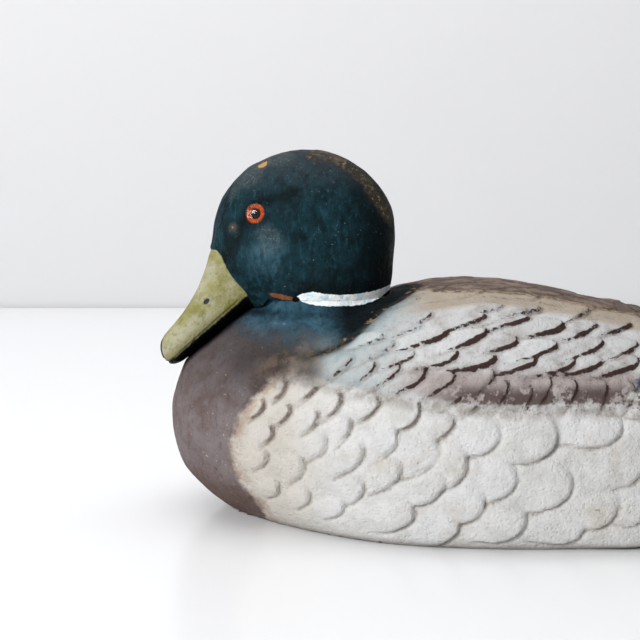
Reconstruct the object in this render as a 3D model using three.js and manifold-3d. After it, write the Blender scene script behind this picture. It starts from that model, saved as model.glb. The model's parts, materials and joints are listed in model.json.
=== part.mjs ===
// Floating mallard drake decoy: a hollow moulded-fibre body closed by a wooden bottom board, with a
// separate head bolted down through the neck so that it can be turned and set.
//
// Millimetres. The origin is the centre of the underside. +X runs to the tail, so the bill points to
// -X. -Y is the duck's left side and +Z is up. The decoy stands on its flat bottom at z = 0.

import * as THREE from 'three';
import { mergeVertices } from 'three/addons/utils/BufferGeometryUtils.js';
import Module from 'manifold-3d';

const wasm = await Module();
wasm.setup();

// ---------------------------------------------------------------------------------- dimensions

const GAP = 0.3; // what two touching pieces keep between them

const NOSE_X = -196; // front of the breast
const STERN_X = 200; // end of the tail
const BREAST_ROUNDING = 50; // length over which the breast rounds off
const TAIL_ROUNDING = 12; // the same at the tail's edge

// Hull sections. At x the hull is `wide` from the centre plane to its side at height `waist`; its
// back is at height `back`, and its lower lobe reaches `deep` below the waist. Where that passes
// z = 0 the bottom is flat. `shoulder` and `bilge` say how square the upper and lower halves are.
const SECTIONS = [
  { x: -196, wide: 50, back: 94, deep: 53, waist: 48, shoulder: 2.5, bilge: 2.1 },
  { x: -165, wide: 55, back: 91, deep: 53, waist: 48, shoulder: 2.5, bilge: 2.1 },
  { x: -148, wide: 59, back: 93, deep: 54, waist: 48, shoulder: 2.6, bilge: 2.2 },
  { x: -119, wide: 69, back: 100, deep: 60, waist: 48, shoulder: 2.6, bilge: 2.7 },
  { x: -87, wide: 77, back: 109, deep: 69, waist: 48, shoulder: 2.5, bilge: 3 },
  { x: -50, wide: 81.5, back: 114.6, deep: 75, waist: 48, shoulder: 2.4, bilge: 3 },
  { x: -15, wide: 82, back: 111.8, deep: 75, waist: 47, shoulder: 2.4, bilge: 3 },
  { x: 30, wide: 79.5, back: 102, deep: 72, waist: 46, shoulder: 2.3, bilge: 2.9 },
  { x: 80, wide: 67.5, back: 92, deep: 62, waist: 46, shoulder: 2.2, bilge: 2.7 },
  { x: 120, wide: 54, back: 84, deep: 49, waist: 49, shoulder: 2.2, bilge: 2.4 },
  { x: 150, wide: 43, back: 80, deep: 32, waist: 56, shoulder: 2.3, bilge: 2.3 },
  { x: 175, wide: 35, back: 80, deep: 18, waist: 66, shoulder: 2.5, bilge: 2.4 },
  { x: 200, wide: 31, back: 86, deep: 6, waist: 80, shoulder: 2.6, bilge: 2.5 },
];

const WALL = 5; // fibre wall
const RIM = 7; // width of the fibre rim around the bottom board
const LEDGE = 9; // width of the ledge above the board that takes the bottom screws
const LEDGE_TOP = 26;
const BOARD = 12; // thickness of the bottom board
const CAVITY_END = 140; // the tail behind this is solid fibre

const NECK = { x: -118.5, rx: 31, ry: 27.5 }; // the neck's top, where the head sits
const SEAM_Z = 108;
const SEAT_R = 35; // round seat that lets the head turn behind the neck
const HEAD_FOOT_R = 36; // around the neck's axis the head is cut flat at the seam
const HEAD_GAP = 0.4; // visible seam between the neck and the head
// Height, how much wider than its top the neck is there, and how far ahead of its top. The throat
// this makes fills the space under the bill.
const NECK_FLARE = [
  { z: 66, grow: 1.5, ahead: 25.5 },
  { z: 74, grow: 1.47, ahead: 24 },
  { z: 80, grow: 1.44, ahead: 18.5 },
  { z: 87, grow: 1.4, ahead: 11.3 },
  { z: 92, grow: 1.3, ahead: 8.3 },
  { z: 97, grow: 1.17, ahead: 5 },
  { z: 102, grow: 1.05, ahead: 0.3 },
  { z: SEAM_Z, grow: 1, ahead: 0 },
];

const BALL = { x: -129, z: 137, rx: 46, ry: 29.5, rz: 43 }; // the round of the head
const CHEEK = { x: -147, y: 13, z: 128, rx: 19, ry: 13, rz: 14 };
const NAPE = { rx: 32, ry: 28.5, z: 112, rz: 26 }; // fuller part low at the back of the head

// The bill runs down and forward from its root. `s` is the distance along it, `top` and `under` are
// its upper and lower surfaces from the axis, and `wide` is its half-width at the cutting edge.
const BILL_ROOT = { x: -160, z: 113 };
const BILL_ANGLE = THREE.MathUtils.degToRad(43.1); // below the horizontal
const BILL_EDGE = -2.5;
const BILL_LENGTH = 54.6;
const BILL_ROUNDING = 9;
const BILL_START = -16; // inside the head
const BILL = [
  { s: -14, top: 25, under: -10, wide: 15 },
  { s: 0, top: 22, under: -11, wide: 15 },
  { s: 8, top: 17.8, under: -10.6, wide: 13.6 },
  { s: 18, top: 13.8, under: -9.6, wide: 12.4 },
  { s: 29, top: 11, under: -8.8, wide: 12.1 },
  { s: 42, top: 8.8, under: -8, wide: 12.6 },
  { s: 54.6, top: 7, under: -7.4, wide: 12.4 },
];

const BOLT_R = 4;
const BOLT_BORE_R = 4.4;
const BOLT_TOP = 148;
const WASHER_R = 14; // leather washer in the seam
const WASHER_SINK = 1.8; // how far down into the neck it lies
const NECK_BLOCK = { r: 20, low: 76, high: 98 };
const STEEL_WASHER = { r: 11, thick: 1.6 };

const EYE = { x: -152.5, z: 149.8, r: 5.4 }; // centre of the glass, from the side

const BALLAST = { x: -8, length: 110, width: 46, height: 14, slope: 4 };
const BALLAST_SCREW_SPREAD = 38;
const BALLAST_SCREW = { shank: 1.7, head: 4.2, depth: 8 };
const BOTTOM_SCREWS = 10;
const SCREW_SINK = 0.2; // how far above the ground a bottom screw's head is

const TIE = { x: -106, z: 3.6, wire: 1.3, half: 9, arm: 5 }; // the ring that takes an anchor line
const TIE_DROOP = THREE.MathUtils.degToRad(8); // at rest the ring's end is just off the ground
const TIE_POCKET = { front: 9, back: 22, half: 14.5, depth: 7 };

// ------------------------------------------------------------------------------ small functions

const clamp = THREE.MathUtils.clamp;

// A smooth curve through rows, of their `field` against their `key`.
function along(rows, key, field, where) {
  const at = clamp(where, rows[0][key], rows[rows.length - 1][key]);
  let i = 0;
  while (i < rows.length - 2 && at > rows[i + 1][key]) i += 1;
  const slope = (j) => {
    const a = rows[Math.max(j - 1, 0)];
    const b = rows[Math.min(j + 1, rows.length - 1)];
    return (b[field] - a[field]) / (b[key] - a[key]);
  };
  const span = rows[i + 1][key] - rows[i][key];
  const t = (at - rows[i][key]) / span;
  const rise = rows[i + 1][field] - rows[i][field];
  const ease = t * t * (3 - 2 * t);
  const lead = slope(i) * span * t * (1 - t) ** 2;
  const trail = slope(i + 1) * span * t * t * (1 - t);
  return rows[i][field] + rise * ease + lead - trail;
}

// A joint of two signed distances, rounded over k.
function softUnion(a, b, k) {
  const h = Math.max(k - Math.abs(a - b), 0) / k;
  return Math.min(a, b) - (h * h * k) / 4;
}

// How far (u, v) is outside an oval with these half-sizes, measured from its middle.
function ovalGap(u, v, ru, rv, power) {
  const reach = Math.hypot(u, v);
  if (reach < 1e-6) return -Math.min(ru, rv);
  const size = (Math.abs(u / ru) ** power + Math.abs(v / rv) ** power) ** (1 / power);
  return reach * (1 - 1 / size);
}

function ellipsoidGap(x, y, z, rx, ry, rz) {
  const reach = Math.hypot(x, y, z);
  const size = Math.hypot(x / rx, y / ry, z / rz);
  return size < 1e-6 ? -Math.min(rx, ry, rz) : reach * (1 - 1 / size);
}

// 1 along most of a length, falling to 0 as a quarter round at the end of it.
function roundedEnd(distance, length) {
  const s = clamp(distance / length, 0, 1);
  return Math.sqrt(1 - (1 - s) ** 2);
}

// -------------------------------------------------------------------------------- outer surfaces

function hullAt(x) {
  const end = roundedEnd(x - NOSE_X, BREAST_ROUNDING) * roundedEnd(STERN_X - x, TAIL_ROUNDING);
  const get = (field) => along(SECTIONS, 'x', field, x);
  const waist = get('waist');
  return {
    waist,
    wide: get('wide') * end,
    up: (get('back') - waist) * end,
    down: get('deep') * end,
    shoulder: get('shoulder'),
    bilge: get('bilge'),
  };
}

function hullGap(x, y, z) {
  if (x <= NOSE_X || x >= STERN_X) return 50;
  const h = hullAt(x);
  const rise = z - h.waist;
  return rise > 0
    ? ovalGap(y, rise, h.wide, h.up, h.shoulder)
    : ovalGap(y, rise, h.wide, h.down, h.bilge);
}

const billAlong = new THREE.Vector3(-Math.cos(BILL_ANGLE), 0, -Math.sin(BILL_ANGLE));
const billUp = new THREE.Vector3(-Math.sin(BILL_ANGLE), 0, Math.cos(BILL_ANGLE));

function billGap(x, y, z) {
  const from = new THREE.Vector3(x - BILL_ROOT.x, 0, z - BILL_ROOT.z);
  const s = from.dot(billAlong);
  if (s <= BILL_START || s >= BILL_LENGTH) return 50;
  const end = roundedEnd(BILL_LENGTH - s, BILL_ROUNDING) * roundedEnd(s - BILL_START, BILL_ROUNDING);
  const rise = from.dot(billUp) - BILL_EDGE;
  const get = (field) => along(BILL, 's', field, s);
  const reach = (rise > 0 ? get('top') - BILL_EDGE : BILL_EDGE - get('under')) * end;
  return ovalGap(y, rise, get('wide') * end, reach, 2.3);
}

function headGap(x, y, z) {
  let gap = ellipsoidGap(x - BALL.x, y, z - BALL.z, BALL.rx, BALL.ry, BALL.rz);
  const nape = ellipsoidGap(x - NECK.x, y, z - NAPE.z, NAPE.rx, NAPE.ry, NAPE.rz);
  const side = Math.abs(y) - CHEEK.y;
  const cheek = ellipsoidGap(x - CHEEK.x, side, z - CHEEK.z, CHEEK.rx, CHEEK.ry, CHEEK.rz);
  gap = softUnion(gap, nape, 10);
  gap = softUnion(gap, cheek, 6);
  return softUnion(gap, billGap(x, y, z), 4);
}

// How far along a ray from inside the surface is.
function reachOf(gap, from, way) {
  let near = 0;
  let far = 260;
  for (let i = 0; i < 30; i += 1) {
    const mid = (near + far) / 2;
    const inside = gap(from.x + way.x * mid, from.y + way.y * mid, from.z + way.z * mid) < 0;
    if (inside) near = mid;
    else far = mid;
  }
  return near;
}

function normalOf(gap, p) {
  const e = 0.05;
  return new THREE.Vector3(
    gap(p.x + e, p.y, p.z) - gap(p.x - e, p.y, p.z),
    gap(p.x, p.y + e, p.z) - gap(p.x, p.y - e, p.z),
    gap(p.x, p.y, p.z + e) - gap(p.x, p.y, p.z - e),
  ).normalize();
}

// A sphere's vertices, carried out to a surface along rays from a spine. `ray(part, turn)` gives
// where a ray starts and its way, with part from 0 to 1 along the spine and turn in radians.
function shrinkWrap(gap, around, length, ray, inset = 0) {
  const g = new THREE.SphereGeometry(1, around, length);
  const uv = g.attributes.uv;
  const at = g.attributes.position;
  for (let i = 0; i < at.count; i += 1) {
    const part = clamp(1 - uv.getY(i), 0, 1);
    const row = Math.round(part * length);
    const pole = row === 0 || row === length;
    const turn = pole ? 0 : Math.round(uv.getX(i) * around) % around;
    const { from, way } = ray(row / length, (turn / around) * 2 * Math.PI);
    const p = from.clone().addScaledVector(way, reachOf(gap, from, way));
    if (inset > 0) p.addScaledVector(normalOf(gap, p), -inset);
    at.setXYZ(i, p.x, p.y, p.z);
  }
  return g;
}

// Rays from a spine that fan out at both of its ends. `spine(t)` is a point, with t from 0 to 1.
function fanned(spine, frontShare, backShare, ovalAt) {
  return (part, turn) => {
    const inner = clamp((part - frontShare) / (1 - frontShare - backShare), 0, 1);
    const lift = part < frontShare
      ? -((frontShare - part) / frontShare) * (Math.PI / 2)
      : Math.max((part - 1 + backShare) / backShare, 0) * (Math.PI / 2);
    const { from, ahead, up } = spine(inner);
    const [wide, high] = ovalAt(from);
    const across = Math.cos(turn) * wide;
    const rise = Math.sin(turn) * high;
    const side = ahead.clone().cross(up);
    const way = up.clone().multiplyScalar(rise).addScaledVector(side, across).normalize();
    way.multiplyScalar(Math.cos(lift)).addScaledVector(ahead, Math.sin(lift));
    return { from, way };
  };
}

const UP = new THREE.Vector3(0, 0, 1);
const AFT = new THREE.Vector3(1, 0, 0);

function hullRays(front, back) {
  return fanned((t) => {
    const x = THREE.MathUtils.lerp(front, back, t);
    const z = x < 110 ? 46 : along(SECTIONS, 'x', 'waist', x) + 2;
    return { from: new THREE.Vector3(x, 0, z), ahead: AFT, up: UP };
  }, 0.18, 0.09, (from) => {
    const h = hullAt(from.x);
    return [h.wide, (h.up + h.down) / 2];
  });
}

// The head's spine comes forward from the nape and then bends down into the bill.
const headSpine = new THREE.CatmullRomCurve3([
  new THREE.Vector3(-108, 0, 134),
  new THREE.Vector3(-124, 0, 137),
  new THREE.Vector3(-141, 0, 133),
  new THREE.Vector3(-157, 0, 118),
  new THREE.Vector3(-172, 0, 103.5),
  new THREE.Vector3(-190, 0, 85.5),
]);

function headRays() {
  return fanned((t) => {
    const from = headSpine.getPointAt(t);
    const ahead = headSpine.getTangentAt(t);
    return { from, ahead, up: new THREE.Vector3(ahead.z, 0, -ahead.x) };
  }, 0.3, 0.1, () => [1, 1]);
}

// ---------------------------------------------------------------------------- solids and booleans

function solid(geometry) {
  const bare = geometry.index ? geometry.clone() : geometry;
  bare.deleteAttribute('normal');
  bare.deleteAttribute('uv');
  const g = mergeVertices(bare, 1e-4);
  return new wasm.Manifold(new wasm.Mesh({
    numProp: 3,
    vertProperties: Float32Array.from(g.attributes.position.array),
    triVerts: Uint32Array.from(g.index.array),
  }));
}

const joined = (...pieces) => pieces.map(solid).reduce((a, b) => a.add(b));

function rod(radius, low, high, x = 0, y = 0, sides = 24) {
  const g = new THREE.CylinderGeometry(radius, radius, high - low, sides);
  return g.rotateX(Math.PI / 2).translate(x, y, (low + high) / 2);
}

// A rod lying along Y.
function bar(radius, half, x, z, sides = 16) {
  return new THREE.CylinderGeometry(radius, radius, 2 * half, sides).translate(x, 0, z);
}

function box(x, y, z, lx, ly, lz) {
  return new THREE.BoxGeometry(lx, ly, lz).translate(x, y, z);
}

// A turned piece about Z from [radius, height] points that start and end on the axis.
function turned(points, sides = 24) {
  const profile = points.map(([r, h]) => new THREE.Vector2(r, h));
  return new THREE.LatheGeometry(profile, sides).rotateX(Math.PI / 2);
}

function slab(outline, low, high) {
  const shape = new THREE.Shape(outline);
  const g = new THREE.ExtrudeGeometry(shape, { depth: high - low, bevelEnabled: false });
  return g.translate(0, 0, low);
}

const group = new THREE.Group();

function add(name, shape, color, roughness, metalness = 0) {
  let geometry = shape;
  if (shape instanceof wasm.Manifold) {
    const { vertProperties, triVerts } = shape.getMesh();
    geometry = new THREE.BufferGeometry();
    geometry.setAttribute('position', new THREE.BufferAttribute(vertProperties, 3));
    geometry.setIndex(new THREE.BufferAttribute(triVerts, 1));
    geometry.computeVertexNormals();
  }
  const material = new THREE.MeshStandardMaterial({ color, roughness, metalness });
  const mesh = new THREE.Mesh(geometry, material);
  mesh.name = name;
  group.add(mesh);
  return mesh;
}

// ------------------------------------------------------------------------------- bottom outlines

// The hull's outline on the ground, drawn in by `inset`.
function bottomOutline(inset, count) {
  const middle = new THREE.Vector3(-25, 0, 0);
  const edge = [];
  for (let i = 0; i < count; i += 1) {
    const turn = (i / count) * 2 * Math.PI;
    const way = new THREE.Vector3(Math.cos(turn) * 1.8, Math.sin(turn), 0).normalize();
    const reach = reachOf(hullGap, middle, way);
    edge.push(new THREE.Vector2(middle.x + way.x * reach, way.y * reach));
  }
  return edge.map((p, i) => {
    const before = edge[(i + count - 1) % count];
    const after = edge[(i + 1) % count];
    const way = after.clone().sub(before).normalize();
    return new THREE.Vector2(p.x - way.y * inset, p.y + way.x * inset);
  });
}

// Points at equal steps around an outline.
function pointsAround(outline, count) {
  const loop = new THREE.Shape(outline).closePath();
  return Array.from({ length: count }, (_, i) => loop.getPointAt((i + 0.5) / count));
}

const boardOutline = bottomOutline(RIM, 44);
const recessOutline = bottomOutline(RIM - GAP, 44);
const wellOutline = bottomOutline(RIM + LEDGE, 44);
const screwPlaces = pointsAround(bottomOutline(RIM + LEDGE * 0.55, 120), BOTTOM_SCREWS);

// ------------------------------------------------------------------------------------- the screws

const SCREW = { head: 3.6, shank: 1.7, cone: 2, length: 21 };

// A countersunk screw pointing up (+Z), with its head flush at `low`.
function screwShape(x, y, low, size, grow = 0) {
  const head = size.head + grow;
  const shank = size.shank + grow;
  const top = low + size.length + grow;
  return turned([
    [0, top],
    [shank * 0.3, top],
    [shank, top - 3],
    [shank, low + size.cone + grow],
    [head, low + grow * 0.5],
    [head, low - grow],
    [0, low - grow],
  ].reverse(), 12).translate(x, y, 0);
}

// ------------------------------------------------------------------------------------- body shell

function neckShape() {
  const low = NECK_FLARE[0].z;
  const steps = 14;
  const rings = [[0, low]];
  for (let i = 0; i <= steps; i += 1) {
    const z = low + ((SEAM_Z - low) * i) / steps;
    rings.push([along(NECK_FLARE, 'z', 'grow', z), z]);
  }
  rings.push([0, SEAM_Z]);
  const g = turned(rings, 48);
  const p = g.attributes.position;
  for (let i = 0; i < p.count; i += 1) {
    const ahead = along(NECK_FLARE, 'z', 'ahead', p.getZ(i));
    p.setXYZ(i, NECK.x - ahead + p.getX(i) * NECK.rx, p.getY(i) * NECK.ry, p.getZ(i));
  }
  return g;
}

function bodyShell() {
  const ground = box(0, 0, 100, 500, 300, 200);
  const outer = solid(shrinkWrap(hullGap, 44, 64, hullRays(-150, 186)));
  const hollow = solid(shrinkWrap(hullGap, 28, 36, hullRays(-150, 150), WALL))
    .intersect(solid(box(-60, 0, 150, 2 * (CAVITY_END + 60), 300, 2 * (150 - LEDGE_TOP + 1))));
  const well = solid(slab(wellOutline, BOARD, LEDGE_TOP));
  const recess = solid(slab(recessOutline, -5, BOARD + GAP));
  const neck = solid(neckShape());
  let shell = outer.intersect(solid(ground)).add(neck);
  shell = shell.subtract(solid(rod(SEAT_R, SEAM_Z, 150, NECK.x, 0, 48)));
  shell = shell.subtract(hollow.add(well).add(recess));
  shell = shell.subtract(joined(
    rod(NECK_BLOCK.r + GAP, NECK_BLOCK.low - 14, NECK_BLOCK.high + GAP, NECK.x, 0, 32),
    rod(BOLT_BORE_R, 60, 120, NECK.x, 0, 16),
    rod(WASHER_R + GAP, SEAM_Z - WASHER_SINK - GAP, 120, NECK.x, 0, 32),
  ));
  for (const p of screwPlaces) {
    shell = shell.subtract(solid(screwShape(p.x, p.y, 0, SCREW, GAP)));
  }
  return shell;
}

add('body_shell', bodyShell(), 0xb7b2aa, 0.85);

// ----------------------------------------------------------------------------------- bottom board

const pocketMiddle = TIE.x + (TIE_POCKET.back - TIE_POCKET.front) / 2;
const TIE_SCREW = { head: 2.6, shank: 1.2, cone: 1.4, length: 13 };
const TIE_PLATE = { thick: 1.2, half: 5.5, reach: 6.4 };
const tiePlateLow = TIE_POCKET.depth - GAP - TIE_PLATE.thick;
const tieScrewX = [TIE.x - 4.9, TIE.x + 9.5];

const ballastScrewX = [-1, 1].map((side) => BALLAST.x + side * BALLAST_SCREW_SPREAD);

function tieHoles(grow) {
  return tieScrewX.map((x) => solid(screwShape(x, 0, tiePlateLow, TIE_SCREW, grow)));
}

function bottomBoard() {
  let board = solid(slab(boardOutline, 0, BOARD));
  const length = TIE_POCKET.front + TIE_POCKET.back;
  board = board.subtract(solid(
    box(pocketMiddle, 0, 0, length, 2 * TIE_POCKET.half, 2 * TIE_POCKET.depth),
  ));
  for (const hole of tieHoles(GAP)) board = board.subtract(hole);
  for (const p of screwPlaces) {
    board = board.subtract(solid(screwShape(p.x, p.y, SCREW_SINK, SCREW, GAP)));
  }
  for (const x of ballastScrewX) {
    const hole = rod(BALLAST_SCREW.shank + GAP, BOARD - BALLAST_SCREW.depth - GAP, BOARD + 5, x, 0, 12);
    board = board.subtract(solid(hole));
  }
  return board;
}

add('bottom_board', bottomBoard(), 0xa9855a, 0.7);

screwPlaces.forEach((p, i) => {
  const name = `bottom_screw_${String(i + 1).padStart(2, '0')}`;
  add(name, solid(screwShape(p.x, p.y, SCREW_SINK, SCREW)), 0xa8863c, 0.4, 0.9);
});

// ---------------------------------------------------------------------------------------- ballast

function ballastWeight() {
  const low = BOARD + GAP;
  const half = BALLAST.width / 2;
  const top = half - BALLAST.slope;
  const outline = [[-half, 0], [half, 0], [top, BALLAST.height], [-top, BALLAST.height]]
    .map(([y, z]) => new THREE.Vector2(y, z));
  const pig = new THREE.ExtrudeGeometry(new THREE.Shape(outline), {
    depth: BALLAST.length, bevelEnabled: false,
  });
  pig.rotateX(Math.PI / 2).rotateZ(Math.PI / 2);
  pig.translate(BALLAST.x - BALLAST.length / 2, 0, low);
  let weight = solid(pig);
  const bore = BALLAST_SCREW.shank + 2 * GAP;
  for (const x of ballastScrewX) weight = weight.subtract(solid(rod(bore, 0, 60, x, 0, 12)));
  return weight;
}

add('ballast_weight', ballastWeight(), 0x6c6e70, 0.6, 0.6);

ballastScrewX.forEach((x, i) => {
  const { shank, head, depth } = BALLAST_SCREW;
  const point = BOARD - depth;
  const top = BOARD + GAP + BALLAST.height + GAP;
  const shape = turned([
    [0, point], [0.5, point], [shank, point + 3], [shank, top], [head, top], [head, top + 1],
    [head * 0.62, top + 2.6], [0, top + 2.9],
  ], 16).translate(x, 0, 0);
  add(`ballast_screw_${i + 1}`, solid(shape), 0xa8863c, 0.4, 0.9);
});

// ------------------------------------------------------------------------------------ anchor tie

function tieBlock() {
  const low = BOARD + GAP;
  let block = solid(box(TIE.x + 2.5, 0, low + 6, 36, 26, 12));
  for (const hole of tieHoles(GAP)) block = block.subtract(hole);
  return block;
}

// A saddle: two flat tongues screwed up into the board and a loop around the ring's bar.
function tieClip() {
  const { thick, half, reach } = TIE_PLATE;
  const low = tiePlateLow;
  const inner = TIE.wire + GAP + 0.15;
  const outer = inner + thick;
  const middle = low + thick / 2;
  const rise = low + thick - TIE.z;
  let clip = joined(
    box(TIE.x - 4.6, 0, middle, 7, 2 * half, thick),
    box(TIE.x + 7.3, 0, middle, 12.6, 2 * half, thick),
    bar(outer, half, TIE.x, TIE.z, 24),
    box(TIE.x, 0, TIE.z + rise / 2, 2 * outer, 2 * half, rise),
  );
  clip = clip.subtract(solid(bar(inner, half + 1, TIE.x, TIE.z, 24)));
  for (const hole of tieHoles(GAP)) clip = clip.subtract(hole);
  return clip.intersect(solid(box(TIE.x + reach / 2, 0, GAP + 10, 60, 30, 20)));
}

// A D-shaped ring: a straight bar held in the saddle, two arms and a half round.
function tieRing() {
  const { x, z, wire, half, arm } = TIE;
  const round = new THREE.TorusGeometry(half, wire, 12, 36).translate(x + arm, 0, z);
  const kept = solid(round).intersect(solid(box(x + arm + 20, 0, z, 40, 60, 10)));
  const arms = [-half, half].map((y) => new THREE.CylinderGeometry(wire, wire, arm, 12)
    .rotateZ(Math.PI / 2).translate(x + arm / 2, y, z));
  const corners = [-half, half].map((y) => new THREE.SphereGeometry(wire, 12, 8)
    .translate(x, y, z));
  const ring = kept.add(joined(bar(wire, half, x, z, 12), ...arms, ...corners));
  const droop = new THREE.Matrix4().makeTranslation(x, 0, z)
    .multiply(new THREE.Matrix4().makeRotationY(TIE_DROOP))
    .multiply(new THREE.Matrix4().makeTranslation(-x, 0, -z));
  return ring.transform(droop.elements);
}

add('tie_block', tieBlock(), 0xa9855a, 0.75);
add('tie_clip', tieClip(), 0xa8863c, 0.35, 0.9);
add('tie_ring', tieRing(), 0xa8863c, 0.35, 0.9);

tieScrewX.forEach((x, i) => {
  const shape = screwShape(x, 0, tiePlateLow, TIE_SCREW);
  add(`tie_screw_${i + 1}`, solid(shape), 0xa8863c, 0.4, 0.9);
});

// ------------------------------------------------------------------------------- neck and its bolt

function neckBlock() {
  const block = solid(rod(NECK_BLOCK.r, NECK_BLOCK.low, NECK_BLOCK.high, NECK.x, 0, 32));
  return block.subtract(solid(rod(BOLT_BORE_R, 60, 120, NECK.x, 0, 16)));
}

function ringShape(outer, inner, low, high) {
  return solid(rod(outer, low, high, NECK.x, 0, 32))
    .subtract(solid(rod(inner, low - 1, high + 1, NECK.x, 0, 16)));
}

const steelWasherLow = NECK_BLOCK.low - GAP - STEEL_WASHER.thick;
const WING_NUT = { low: 63, high: steelWasherLow - GAP, r: 8, thick: 3 };

function headBolt() {
  const thread = 1.25;
  const points = [[0, 55], [BOLT_R - 0.8, 55]];
  for (let z = 56.2; z < 92; z += 2 * thread) {
    points.push([BOLT_R - 0.35, z], [BOLT_R, z + thread]);
  }
  points.push([BOLT_R, BOLT_TOP - 18], [BOLT_R - 0.6, BOLT_TOP - 14], [0.8, BOLT_TOP], [0, BOLT_TOP]);
  return turned(points, 16).translate(NECK.x, 0, 0);
}

function wingNut() {
  const { low, high, r, thick } = WING_NUT;
  const outline = new THREE.Shape();
  outline.moveTo(r - 2, 0);
  outline.bezierCurveTo(r + 4, -1, r + 10, -5, r + 15, -4);
  outline.bezierCurveTo(r + 18, -3, r + 17, 3, r + 14, 6);
  outline.bezierCurveTo(r + 10, 8, r + 4, 8, r - 2, 7);
  outline.closePath();
  const wing = new THREE.ExtrudeGeometry(outline, {
    depth: thick, bevelEnabled: false, curveSegments: 6,
  }).translate(0, 0, -thick / 2).rotateX(Math.PI / 2).translate(0, 0, low);
  const wings = [wing, wing.clone().rotateZ(Math.PI)].map((g) => g.translate(NECK.x, 0, 0));
  const hub = new THREE.CylinderGeometry(r, r - 2, high - low, 24)
    .rotateX(Math.PI / 2).translate(NECK.x, 0, (low + high) / 2);
  return joined(hub, ...wings).subtract(solid(rod(BOLT_R + GAP, 40, 90, NECK.x, 0, 16)));
}

add('neck_block', neckBlock(), 0xa9855a, 0.75);
const neckWasher = ringShape(WASHER_R, BOLT_BORE_R, SEAM_Z - WASHER_SINK, SEAM_Z + HEAD_GAP - GAP);
const boltWasher = ringShape(
  STEEL_WASHER.r, BOLT_R + GAP, steelWasherLow, steelWasherLow + STEEL_WASHER.thick,
);

add('neck_washer', neckWasher, 0x5b3d28, 0.8);
add('head_bolt', solid(headBolt()), 0x8a8d90, 0.4, 0.9);
add('bolt_washer', boltWasher, 0x8a8d90, 0.4, 0.9);
add('wing_nut', wingNut(), 0x8a8d90, 0.4, 0.9);

// ------------------------------------------------------------------------------------------- head

// The eye looks out along the head's own surface. `side` is -1 for the duck's left.
function eyeFrame(side) {
  const from = new THREE.Vector3(EYE.x, 0, EYE.z);
  const way = new THREE.Vector3(0, side, 0);
  const at = from.addScaledVector(way, reachOf(headGap, from, way));
  const out = normalOf(headGap, at);
  const turn = new THREE.Quaternion().setFromUnitVectors(UP, out);
  return new THREE.Matrix4().compose(at, turn, new THREE.Vector3(1, 1, 1));
}

const EYE_DEPTH = 2.6;

function headSolid() {
  let head = solid(shrinkWrap(headGap, 40, 52, headRays()));
  head = head.subtract(solid(rod(HEAD_FOOT_R, 40, SEAM_Z + HEAD_GAP, NECK.x, 0, 48)));
  head = head.subtract(solid(rod(BOLT_R + GAP, 90, BOLT_TOP + GAP, NECK.x, 0, 16)));
  for (const side of [-1, 1]) {
    const place = eyeFrame(side);
    const socket = joined(rod(EYE.r + GAP, -EYE_DEPTH - GAP, 6, 0, 0, 32), rod(0.9, -14, 0, 0, 0, 8));
    head = head.subtract(socket.transform(place.elements));
  }
  return head;
}

add('head', headSolid(), 0x2c4449, 0.6);

const PUPIL_R = 2.1;

const EYE_PIECES = {
  eye_glass: [[0, -0.9], [EYE.r, -0.9], [EYE.r, -0.3], [EYE.r - 0.5, 0.6], [EYE.r - 1.6, 1.35],
    [EYE.r - 3.3, 1.9], [0, 2.2]],
  eye_iris: [[PUPIL_R + GAP, -2.2], [EYE.r - 0.2, -2.2], [EYE.r - 0.2, -1.3], [PUPIL_R + GAP, -1.3],
    [PUPIL_R + GAP, -2.2]],
  eye_pupil: [[0, -2.5], [PUPIL_R, -2.5], [PUPIL_R, -1.3], [0, -1.3]],
  eye_wire: [[0, -13.6], [0.6, -13.6], [0.6, -2.9], [0, -2.9]],
};
const EYE_COLORS = {
  eye_glass: 0xf4efe6, eye_iris: 0xc9541b, eye_pupil: 0x0a0a0a, eye_wire: 0x8a8d90,
};

for (const [side, word] of [[-1, 'left'], [1, 'right']]) {
  for (const [name, points] of Object.entries(EYE_PIECES)) {
    const shape = solid(turned(points, name === 'eye_wire' ? 8 : 28));
    const metal = name === 'eye_wire' ? 0.8 : 0;
    add(`${name}_${word}`, shape.transform(eyeFrame(side).elements), EYE_COLORS[name], 0.2, metal);
  }
}

export default group;
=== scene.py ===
"""Looks of a floating mallard drake decoy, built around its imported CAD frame.

The body and the head are rebuilt as fine meshes over the same surfaces as the CAD solids, with the
embossed feathers, the bill and the wear modelled in them. Shapes are worked out in millimetres and
turned into metres when a mesh is made. +X runs to the tail, -Y is the duck's left side, +Z is up.
"""

import json
import math

import bmesh
import bpy
import numpy as np
from mathutils import Matrix, Vector


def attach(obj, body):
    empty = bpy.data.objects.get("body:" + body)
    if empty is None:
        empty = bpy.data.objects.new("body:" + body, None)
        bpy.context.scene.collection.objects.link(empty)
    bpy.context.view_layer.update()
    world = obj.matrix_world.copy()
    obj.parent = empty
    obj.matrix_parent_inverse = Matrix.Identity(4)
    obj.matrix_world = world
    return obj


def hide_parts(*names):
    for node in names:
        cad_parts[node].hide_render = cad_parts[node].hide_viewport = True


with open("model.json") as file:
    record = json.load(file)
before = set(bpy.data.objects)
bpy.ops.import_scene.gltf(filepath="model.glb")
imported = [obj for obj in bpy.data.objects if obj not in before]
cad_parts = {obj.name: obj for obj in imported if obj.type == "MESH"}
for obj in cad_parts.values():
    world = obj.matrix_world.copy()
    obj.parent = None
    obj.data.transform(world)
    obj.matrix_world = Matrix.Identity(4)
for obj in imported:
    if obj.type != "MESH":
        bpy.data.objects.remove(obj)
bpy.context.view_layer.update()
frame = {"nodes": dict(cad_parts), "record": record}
MM = 0.001

# ---- driving sizes, mm

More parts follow.
